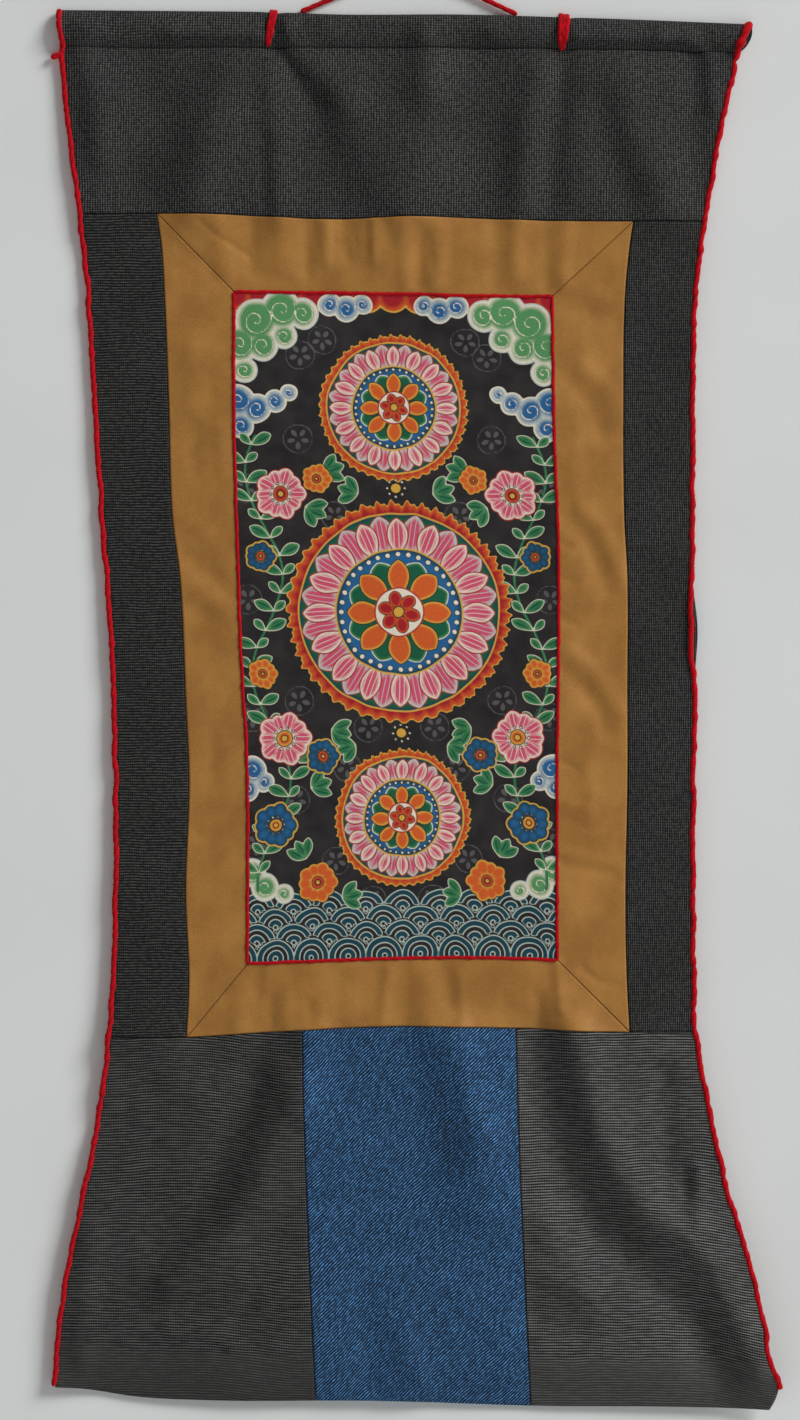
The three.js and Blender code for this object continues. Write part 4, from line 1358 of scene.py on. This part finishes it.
class ThangkaOperator:
    """What every operator here shares."""

    bl_options = {"REGISTER", "UNDO"}

    def hang_cloth(self, name, place, edges, material, slot, hangs_from, cuts=(1, 1), drawn=None):
        cloth = bpy.context.scene.thangka_cloth
        pitch = (cloth.paint_facet if drawn else cloth.facet) / MM
        shape = sheet_shape(place, edges, pitch, cloth.thickness / MM, cuts, drawn)
        piece = add_piece(name, shape, material, slot, name)
        width, length, area = flat_area(place)
        return piece

    def add_yarn(self, name, shape):
        """Adds one piece of red yarn."""
        yarn = bpy.context.scene.thangka_yarn
        return add_piece(name, shape, shared(red_yarn, "twisted_yarn", yarn), "red_yarn", name)


class THANGKA_OT_stage(ThangkaOperator, bpy.types.Operator):
    """Adds the camera, the lights, a pale floor and a pale backdrop"""

    bl_idname = "thangka.stage"
    bl_label = "Stage"

    def execute(self, context):
        stage = context.scene.thangka_stage
        scene = context.scene
        scene.view_settings.view_transform = "Standard"
        self.add_camera(scene, stage)
        self.add_light("window", *WINDOW, stage.key, stage)
        self.add_light("behind", *BEHIND, stage.fill, stage)
        world = bpy.data.worlds.new("pale_room")
        world.use_nodes = True
        background = world.node_tree.nodes["Background"]
        background.inputs["Color"].default_value = (1.0, 1.0, 1.0, 1.0)
        background.inputs["Strength"].default_value = stage.sky
        scene.world = world
        self.add_surface("floor", stage, FLOOR, False)
        self.add_surface("backdrop", stage, WALL, True)
        return {"FINISHED"}

    def add_camera(self, scene, stage):
        data = bpy.data.cameras.new("camera")
        data.lens = data.sensor_width * stage.distance / stage.frame_height
        camera = bpy.data.objects.new("camera", data)
        camera.location = Vector(stage.aim) - Vector((0, stage.distance, 0))
        camera.rotation_euler = (math.pi / 2, 0, 0)
        scene.collection.objects.link(camera)
        scene.camera = camera

    def add_light(self, name, place, size, power, stage):
        data = bpy.data.lights.new(name, "AREA")
        data.size = size
        data.energy = power
        light = bpy.data.objects.new(name, data)
        light.location = place
        aim = Vector(stage.aim) - Vector(place)
        light.rotation_euler = aim.to_track_quat("-Z", "Y").to_euler()
        bpy.context.scene.collection.objects.link(light)

    def add_surface(self, name, stage, spans, one_sided):
        """A flat surface from a corner and two sides. A one-sided one only shows to the camera,
        from its front, so that it hides nothing and takes no light from behind the scroll."""
        first, along, up = (np.array(s, float) for s in spans)
        mesh = bpy.data.meshes.new(name)
        mesh.from_pydata([first, first + along, first + along + up, first + up], [], [(0, 1, 2, 3)])
        material, start, shader = new_material(name, 0.9)
        where = start.node("ShaderNodeTexCoord", None, None, "Object")
        grain = start.node("ShaderNodeTexNoise", None, {"Vector": where, "Scale": 8.0})
        pale = np.array(stage.wall)
        base = grain.steps(0.3, 0.7).mix(tuple(pale * 0.97), tuple(pale))
        finish(start, shader, base)
        if one_sided:
            behind = start.node("ShaderNodeNewGeometry", None, None, "Backfacing")
            clear = start.node("ShaderNodeBsdfTransparent")
            wall = Shade(start.tree, shader.outputs[0])
            mixed = start.node("ShaderNodeMixShader", None, {0: behind, 1: wall, 2: clear})
            output = start.tree.nodes["Material Output"]
            start.tree.links.new(mixed.socket, output.inputs["Surface"])
        mesh.materials.append(material)
        surface = bpy.data.objects.new(name, mesh)
        bpy.context.scene.collection.objects.link(surface)
        if one_sided:
            surface.visible_diffuse = surface.visible_glossy = False
            surface.visible_transmission = surface.visible_shadow = False


def cord_route():
    """The cord's middle line: straight from each foot to a round bend at its top."""
    halves = []
    for foot_x, turn in zip(CORD_FEET, (-1, 1)):
        radius = bpy.context.scene.thangka_yarn.cord / MM / 2
        foot_z = -float(heading_top(foot_x)) + radius + CORD_GAP
        slope = math.atan2(CORD_TOP_RISE - foot_z, abs(CORD_TOP_X - foot_x))
        angle = slope * np.linspace(1, 0, 7)
        bend_x = CORD_TOP_X + turn * CORD_BEND_RADIUS * np.sin(angle)
        bend_z = CORD_TOP_RISE - CORD_BEND_RADIUS * (1 - np.cos(angle))
        run = np.linspace(0, 1, 12)[:-1]
        x = np.concatenate([blend(foot_x, bend_x[0], run), bend_x])
        z = np.concatenate([blend(foot_z, bend_z[0], run), bend_z])
        halves.append(np.stack([x, 0 * x + SLEEVE_SET_BACK, z], -1))
    return np.concatenate([halves[0], halves[1][-2::-1]])


def resampled(path, step):
    """The same path with points about a step apart, on smooth cubic stretches."""
    along = np.concatenate([[0], np.cumsum(np.linalg.norm(np.diff(path, axis=0), axis=1))])
    at = np.linspace(0, along[-1], max(8, round(along[-1] / step)))
    columns = [curve({"s": along, "v": path[:, k]}, "s", "v")(at) for k in range(3)]
    return np.stack(columns, -1)


class THANGKA_OT_cord(ThangkaOperator, bpy.types.Operator):
    """Adds the hanging cord, from the heading up to its bend and back"""

    bl_idname = "thangka.cord"
    bl_label = "Hanging cord"

    def execute(self, context):
        yarn = context.scene.thangka_yarn
        route = resampled(cord_route(), YARN_STEPS["cord"])
        shape = strand_shape(route, yarn.cord / MM, yarn, (0, -1, 0), seed=11, swell=0.04,
                             groove=0.12)
        cord = self.add_yarn("hanging_cord", shape)
        return {"FINISHED"}


def sleeve_section(x, angle, inset):
    """A place on the sleeve's section, turned from its top edge over the front: an oval that
    narrows towards the seam, drawn in where a tie crosses it. Inset moves it into the cloth."""
    low = (1 - np.cos(angle)) / 2
    ties = sum(np.exp(-(((x - blend(top, seam, low)) / TIE_PULL_WIDTH) ** 2))
               for top, seam, *_ in TIES.values())
    inset = inset + TIE_PULL * ties * (1 - low**2)
    top = heading_top(x) + inset
    seam = heading_seam(x) - SEAM_ROOM - inset
    depth = (SLEEVE_DEPTH / 2 - inset) * (1 - SLEEVE_NIP * low**3)
    drawn = np.where(np.sin(angle) < 0, low**8, low**3)
    middle = blend(SLEEVE_SET_BACK, -forward(x, heading_seam(x)), drawn)
    return middle - depth * np.sin(angle), blend(top, seam, low)


class THANGKA_OT_sleeve(ThangkaOperator, bpy.types.Operator):
    """Adds the heading's rod sleeve"""

    bl_idname = "thangka.sleeve"
    bl_label = "Rod sleeve"

    def execute(self, context):
        cloth = context.scene.thangka_cloth
        shape, girth = self.sleeve_shape(cloth.thickness / MM)
        material = shared(dark_cloth, "dark_canvas", cloth, *DARK_CLOTHS["dark_canvas"])
        sleeve = add_piece("rod_sleeve", shape, material, "slub_cloth", "rod_sleeve")
        girth * MM
        return {"FINISHED"}

    def sleeve_shape(self, thickness):
        """An outer and an inner wall, each a grid of shares along the sleeve and angles round its
        section, joined by a rim at each open end."""
        left = float(cloth_left(heading_top(LEFT_EDGE["x"][0])))
        right = float(cloth_right(heading_top(RIGHT_EDGE["x"][0])))
        count = round((right - left) / SLEEVE_STEP)
        u, angle = np.meshgrid(np.linspace(0, 1, count + 1),
                               2 * math.pi * np.arange(SLEEVE_SIDES) / SLEEVE_SIDES, indexing="ij")
        walls = [self.sleeve_wall(u, angle, blend(left, right, u), inset)
                 for inset in (0, thickness)]
        rings = np.arange(u.size).reshape(u.shape)
        wrap = np.column_stack([rings, rings[:, 0]])
        outer, inner = quads(wrap)[:, ::-1], quads(wrap + u.size)
        rims, rim_places = self.sleeve_rims(wrap, u.size)
        share = np.column_stack([angle, 0 * angle[:, 0] + 2 * math.pi]) / (2 * math.pi)
        along = np.column_stack([u, u[:, 0]])
        face = quads(np.arange(along.size).reshape(along.shape))
        corner_u, corner_v = along.ravel()[face], share.ravel()[face]
        places = [tiled(corner_u[:, ::-1], corner_v[:, ::-1], FRONT_BOX, (2, 1)),
                  tiled(corner_u, corner_v, BACK_BOX, (2, 1)), *rim_places]
        ring = walls[0][count // 2]
        girth = np.linalg.norm(np.diff(ring, axis=0, append=ring[:1]), axis=1).sum()
        points = np.concatenate([w.reshape(-1, 3) for w in walls])
        down = np.concatenate([(angle * girth / 2 / math.pi).ravel()] * 2)
        cloth = np.stack([points[:, 0], down, np.repeat([1, 0], u.size)], -1)
        # Distance round the section from its seam, along which painted shade darkens the sleeve
        seam = np.concatenate([(np.abs(angle - math.pi) * girth / 2 / math.pi).ravel()] * 2)
        shape = {"points": points, "faces": [outer, inner, *rims], "places": places,
                 "fields": {"cloth": cloth, "seam": seam, "hem": 0 * seam + FAR}}
        return shape, girth

    def sleeve_wall(self, u, angle, x, inset):
        """Places on one wall: the section at each x, spread from one edge of the cloth to the
        other. At the right end its back runs on and comes forward, and its front is folded."""
        back, drop = sleeve_section(x, angle, inset)
        behind = np.maximum(0, -np.sin(angle))
        x = blend(cloth_left(drop), cloth_right(drop) + SLEEVE_BACK_RUN * behind, u)
        shut = np.clip((u - SLEEVE_SHUT[1]) / (1 - SLEEVE_SHUT[1]), 0, 1)
        back = back - SLEEVE_SHUT[0] * shut**2 * (3 - 2 * shut) * behind
        front = np.sin(angle) ** 2 * (np.sin(angle) > 0)
        back = back - folded(SLEEVE_FOLDS, x, drop) * front
        return np.stack([x, back, -drop], -1)

    def sleeve_rims(self, wrap, size):
        """Faces between both walls at each open end, and their bake places."""
        along = SLEEVE_RIM_RUN * (np.arange(SLEEVE_SIDES)[:, None] + (0, 1, 1, 0)) / SLEEVE_SIDES
        across = blend(RIM_BOX[1], RIM_BOX[3], np.array([0, 0, 1, 1]) + 0 * along)
        faces, places = [], []
        for ring, start, flip in zip((wrap[0], wrap[-1]), SLEEVE_RIM_STARTS, (1, -1)):
            strip = np.stack([ring[:-1], ring[1:], ring[1:] + size, ring[:-1] + size], -1)
            faces.append(strip[:, ::flip])
            places.append(np.stack([start + along, across], -1)[:, ::flip])
        return faces, places


class THANGKA_OT_panels(ThangkaOperator, bpy.types.Operator):
    """Adds the dark cloth panels: heading, sides and the two lower corners"""

    bl_idname = "thangka.panels"
    bl_label = "Dark panels"

    def execute(self, context):
        cloth = context.scene.thangka_cloth
        slub, lying, standing, low, lower = (
            shared(dark_cloth, name, cloth, *weave) for name, weave in DARK_CLOTHS.items())
        room = SEAM_ROOM
        above, below = moved(top_seam, room), moved(bottom_seam, -room)
        heading = panel(cloth_left, cloth_right, moved(heading_seam, room), moved(top_seam, -room))
        left = panel(cloth_left, moved(gold_left, -room), above, below)
        right = panel(moved(gold_right, room), cloth_right, above, below)
        under = moved(bottom_seam, room)
        low_left = panel(cloth_left, moved(blue_left, -room), under, lower_edge)
        low_right = panel(moved(blue_right, room), cloth_right, under, lower_edge)
        left_bound, right_bound, hemmed = {"left": BOUND}, {"right": BOUND}, {"bottom": HEMMED}
        rows = (
            ("top_panel", heading, {**left_bound, **right_bound}, slub, "slub_cloth", "rod_sleeve",
             (2, 1)),
            ("side_strip_left", left, left_bound, lying, "ribbed_cloth", "top_panel", (1, 3)),
            ("side_strip_right", right, right_bound, standing, "ribbed_cloth", "top_panel", (1, 3)),
            ("bottom_panel_left", low_left, {**left_bound, **hemmed}, low, "ribbed_cloth",
             "side_strip_left", (1, 1)),
            ("bottom_panel_right", low_right, {**right_bound, **hemmed}, lower, "ribbed_cloth",
             "side_strip_right", (1, 1)),
        )
        for name, place, edges, material, slot, hangs_from, cuts in rows:
            self.hang_cloth(name, place, {**ALL_SEWN, **edges}, material, slot, hangs_from, cuts)
        return {"FINISHED"}


class THANGKA_OT_border(ThangkaOperator, bpy.types.Operator):
    """Adds the four mitred strips of the gold border"""

    bl_idname = "thangka.border"
    bl_label = "Gold border"

    def execute(self, context):
        material = shared(gold_cloth, "gold_plain", context.scene.thangka_cloth)
        room = SEAM_ROOM
        out_left, out_right = moved(gold_left, room), moved(gold_right, -room)
        out_top, out_bottom = moved(top_seam, room), moved(bottom_seam, -room)
        in_left, in_right = moved(opening_left, -room), moved(opening_right, room)
        in_top, in_bottom = moved(opening_top, -room), moved(opening_bottom, room)
        top = mitred_strip(across_line(out_top, out_left, out_right),
                           across_line(in_top, in_left, in_right))
        bottom = mitred_strip(across_line(out_bottom, out_left, out_right),
                              across_line(in_bottom, in_left, in_right))
        left = mitred_strip(down_line(out_left, out_top, out_bottom),
                            down_line(in_left, in_top, in_bottom))
        right = mitred_strip(down_line(out_right, out_top, out_bottom),
                             down_line(in_right, in_top, in_bottom))
        rows = (
            ("gold_border_top", top, "top_panel", (2, 1)),
            ("gold_border_bottom", lambda u, v: bottom(u, 1 - v), "gold_border_left", (2, 1)),
            ("gold_border_left", lambda u, v: left(v, u), "gold_border_top", (1, 3)),
            ("gold_border_right", lambda u, v: right(v, 1 - u), "gold_border_top", (1, 3)),
        )
        for name, place, hangs_from, cuts in rows:
            self.hang_cloth(name, place, ALL_SEWN, material, "gold_cloth", hangs_from, cuts)
        return {"FINISHED"}


class THANGKA_OT_blue(ThangkaOperator, bpy.types.Operator):
    """Adds the blue twill panel at the bottom"""

    bl_idname = "thangka.blue"
    bl_label = "Blue panel"

    def execute(self, context):
        room = SEAM_ROOM
        place = panel(moved(blue_left, room), moved(blue_right, -room),
                      moved(bottom_seam, room), lower_edge)
        edges = {**ALL_SEWN, "bottom": HEMMED}
        material = shared(blue_twill, "blue_melange", context.scene.thangka_cloth)
        self.hang_cloth("bottom_panel_centre", place, edges, material, "blue_twill",
                        "gold_border_bottom")
        return {"FINISHED"}


class THANGKA_OT_painting(ThangkaOperator, bpy.types.Operator):
    """Adds the painted cloth"""

    bl_idname = "thangka.painting"
    bl_label = "Painted cloth"

    def execute(self, context):
        room = SEAM_ROOM
        place = panel(moved(opening_left, room), moved(opening_right, -room),
                      moved(opening_top, room), moved(opening_bottom, -room))
        material = shared(painted_cloth, "painted_cotton", context.scene.thangka_paint)
        self.hang_cloth("painting_canvas", place, ALL_SEWN, material, "painted_cloth",
                        "gold_border_top", (1, 2), drawing)
        return {"FINISHED"}


class THANGKA_OT_piping(ThangkaOperator, bpy.types.Operator):
    """Adds the red piping round the painted cloth"""

    bl_idname = "thangka.piping"
    bl_label = "Piping"

    def execute(self, context):
        yarn, cloth = context.scene.thangka_yarn, context.scene.thangka_cloth
        runs = {
            "piping_top": across_line(opening_top, opening_left, opening_right),
            "piping_bottom": across_line(opening_bottom, opening_left, opening_right),
            "piping_left": down_line(opening_left, opening_top, opening_bottom),
            "piping_right": down_line(opening_right, opening_top, opening_bottom),
        }
        lift = cloth.thickness / MM / 2 - PIPING_SINK
        for seed, (name, line) in enumerate(runs.items()):
            x, drop = line(np.linspace(0, 1, LINE_PLACES["piping"]))
            path = np.stack([x, -forward(x, drop) - lift, -drop], -1)
            path = resampled(path, YARN_STEPS["piping"])
            shape = strand_shape(path, yarn.piping / MM, yarn, (0, -1, 0), seed=20 + seed,
                                 wander=0.35, fuzz=len(path) // 3, sides=12)
            self.add_yarn(name, shape)
        return {"FINISHED"}


class THANGKA_OT_edging(ThangkaOperator, bpy.types.Operator):
    """Adds the red yarn along both outer edges"""

    bl_idname = "thangka.edging"
    bl_label = "Edging yarn"

    def execute(self, context):
        yarn = context.scene.thangka_yarn
        for seed, (name, (start, stop)) in enumerate(EDGE_YARNS.items()):
            drop = np.linspace(start, stop, LINE_PLACES["edging"])
            x = (yarn_left if name.endswith("left") else yarn_right)(drop)
            path = np.stack([x, -self.edge_forward(x, drop), -drop], -1)
            path = resampled(path, YARN_STEPS["edging"])
            girth = 1 + sum(thick * np.exp(-(((path[:, 2] + at) / width) ** 2))
                            for at, width, _, thick in EDGE_JOGS[name])
            shape = strand_shape(path, yarn.edging / MM, yarn, (0, -1, 0), seed=40 + seed,
                                 wander=0.9, fuzz=2200, girth=girth)
            if name in LOOSE_ENDS:
                end = resampled(np.array(LOOSE_ENDS[name], float), YARN_STEPS["ties"])
                tail = strand_shape(end, 1.2 * yarn.edging / MM, yarn, (0, -1, 0), seed=50, fuzz=30)
                shape = joined(shape, tail)
            self.add_yarn(name, shape)
        return {"FINISHED"}

    def edge_forward(self, x, drop):
        """Over the front of the sleeve's mouth, then with the cloth."""
        top, seam = heading_top(x), heading_seam(x)
        low = np.clip((drop - top) / (seam - top), 0, 1)
        depth = SLEEVE_DEPTH / 2 * (1 - SLEEVE_NIP * low**3)
        middle = blend(-SLEEVE_SET_BACK, forward(x, seam), low**3)
        mouth = middle + depth * np.sqrt(1 - (2 * low - 1) ** 2)
        at, width, _, rise = EDGE_STRAY
        stray = rise * np.exp(-(((drop - at) / width) ** 2)) * (x > 0)
        return np.where(drop >= seam, forward(x, drop) + stray, mouth)


class THANGKA_OT_ties(ThangkaOperator, bpy.types.Operator):
    """Adds the two yarn ties round the rod sleeve"""

    bl_idname = "thangka.ties"
    bl_label = "Ties"

    def execute(self, context):
        yarn = context.scene.thangka_yarn
        for seed, (name, (top_x, seam_x, spread, thick, reach)) in enumerate(TIES.items()):
            strands = []
            for k, side in enumerate((-0.5, 0, 0.5)):
                angle = np.linspace(reach, -reach, LINE_PLACES["ties"])
                low = (1 - np.cos(angle)) / 2
                x = blend(top_x, seam_x, low) + side * spread * (1 - low**6)
                back, drop = sleeve_section(x, angle, -TIE_SINK * thick)
                path = resampled(np.stack([x, back, -drop], -1), YARN_STEPS["ties"])
                far = np.linspace(-1, 1, len(path)) ** 2
                strands.append(strand_shape(path, thick, yarn, (1, 0, 0), seed=60 + 3 * seed + k,
                                            fuzz=60, girth=1 - 0.45 * far**2))
            self.add_yarn(name, joined(*strands))
        return {"FINISHED"}


class VIEW3D_PT_thangka(bpy.types.Panel):
    """Lists the operators that make the scroll."""

    bl_label = "Thangka"
    bl_space_type = "VIEW_3D"
    bl_region_type = "UI"
    bl_category = "Thangka"

    def draw(self, context):
        for operator in OPERATORS:
            self.layout.operator(operator.bl_idname)
        for name in SETTINGS:
            settings = getattr(context.scene, name)
            box = self.layout.box()
            for key in settings.__annotations__:
                box.prop(settings, key)


SETTINGS = {"thangka_cloth": ThangkaCloth, "thangka_yarn": ThangkaYarn,
            "thangka_paint": ThangkaPaint, "thangka_stage": ThangkaStage}
OPERATORS = (
    THANGKA_OT_stage, THANGKA_OT_cord, THANGKA_OT_sleeve, THANGKA_OT_panels, THANGKA_OT_border,
    THANGKA_OT_blue, THANGKA_OT_painting, THANGKA_OT_piping, THANGKA_OT_edging, THANGKA_OT_ties,
)


def register():
    for group in SETTINGS.values():
        bpy.utils.register_class(group)
    for name, group in SETTINGS.items():
        setattr(bpy.types.Scene, name, PointerProperty(type=group))
    for operator in OPERATORS:
        bpy.utils.register_class(operator)
    bpy.utils.register_class(VIEW3D_PT_thangka)


def unregister():
    bpy.utils.unregister_class(VIEW3D_PT_thangka)
    for operator in reversed(OPERATORS):
        bpy.utils.unregister_class(operator)
    for name, group in SETTINGS.items():
        delattr(bpy.types.Scene, name)
        bpy.utils.unregister_class(group)


def main():
    register()
    for operator in OPERATORS:
        group, name = operator.bl_idname.split(".")
        getattr(getattr(bpy.ops, group), name)()
    bpy.context.view_layer.update()


if __name__ == "__main__":
    main()
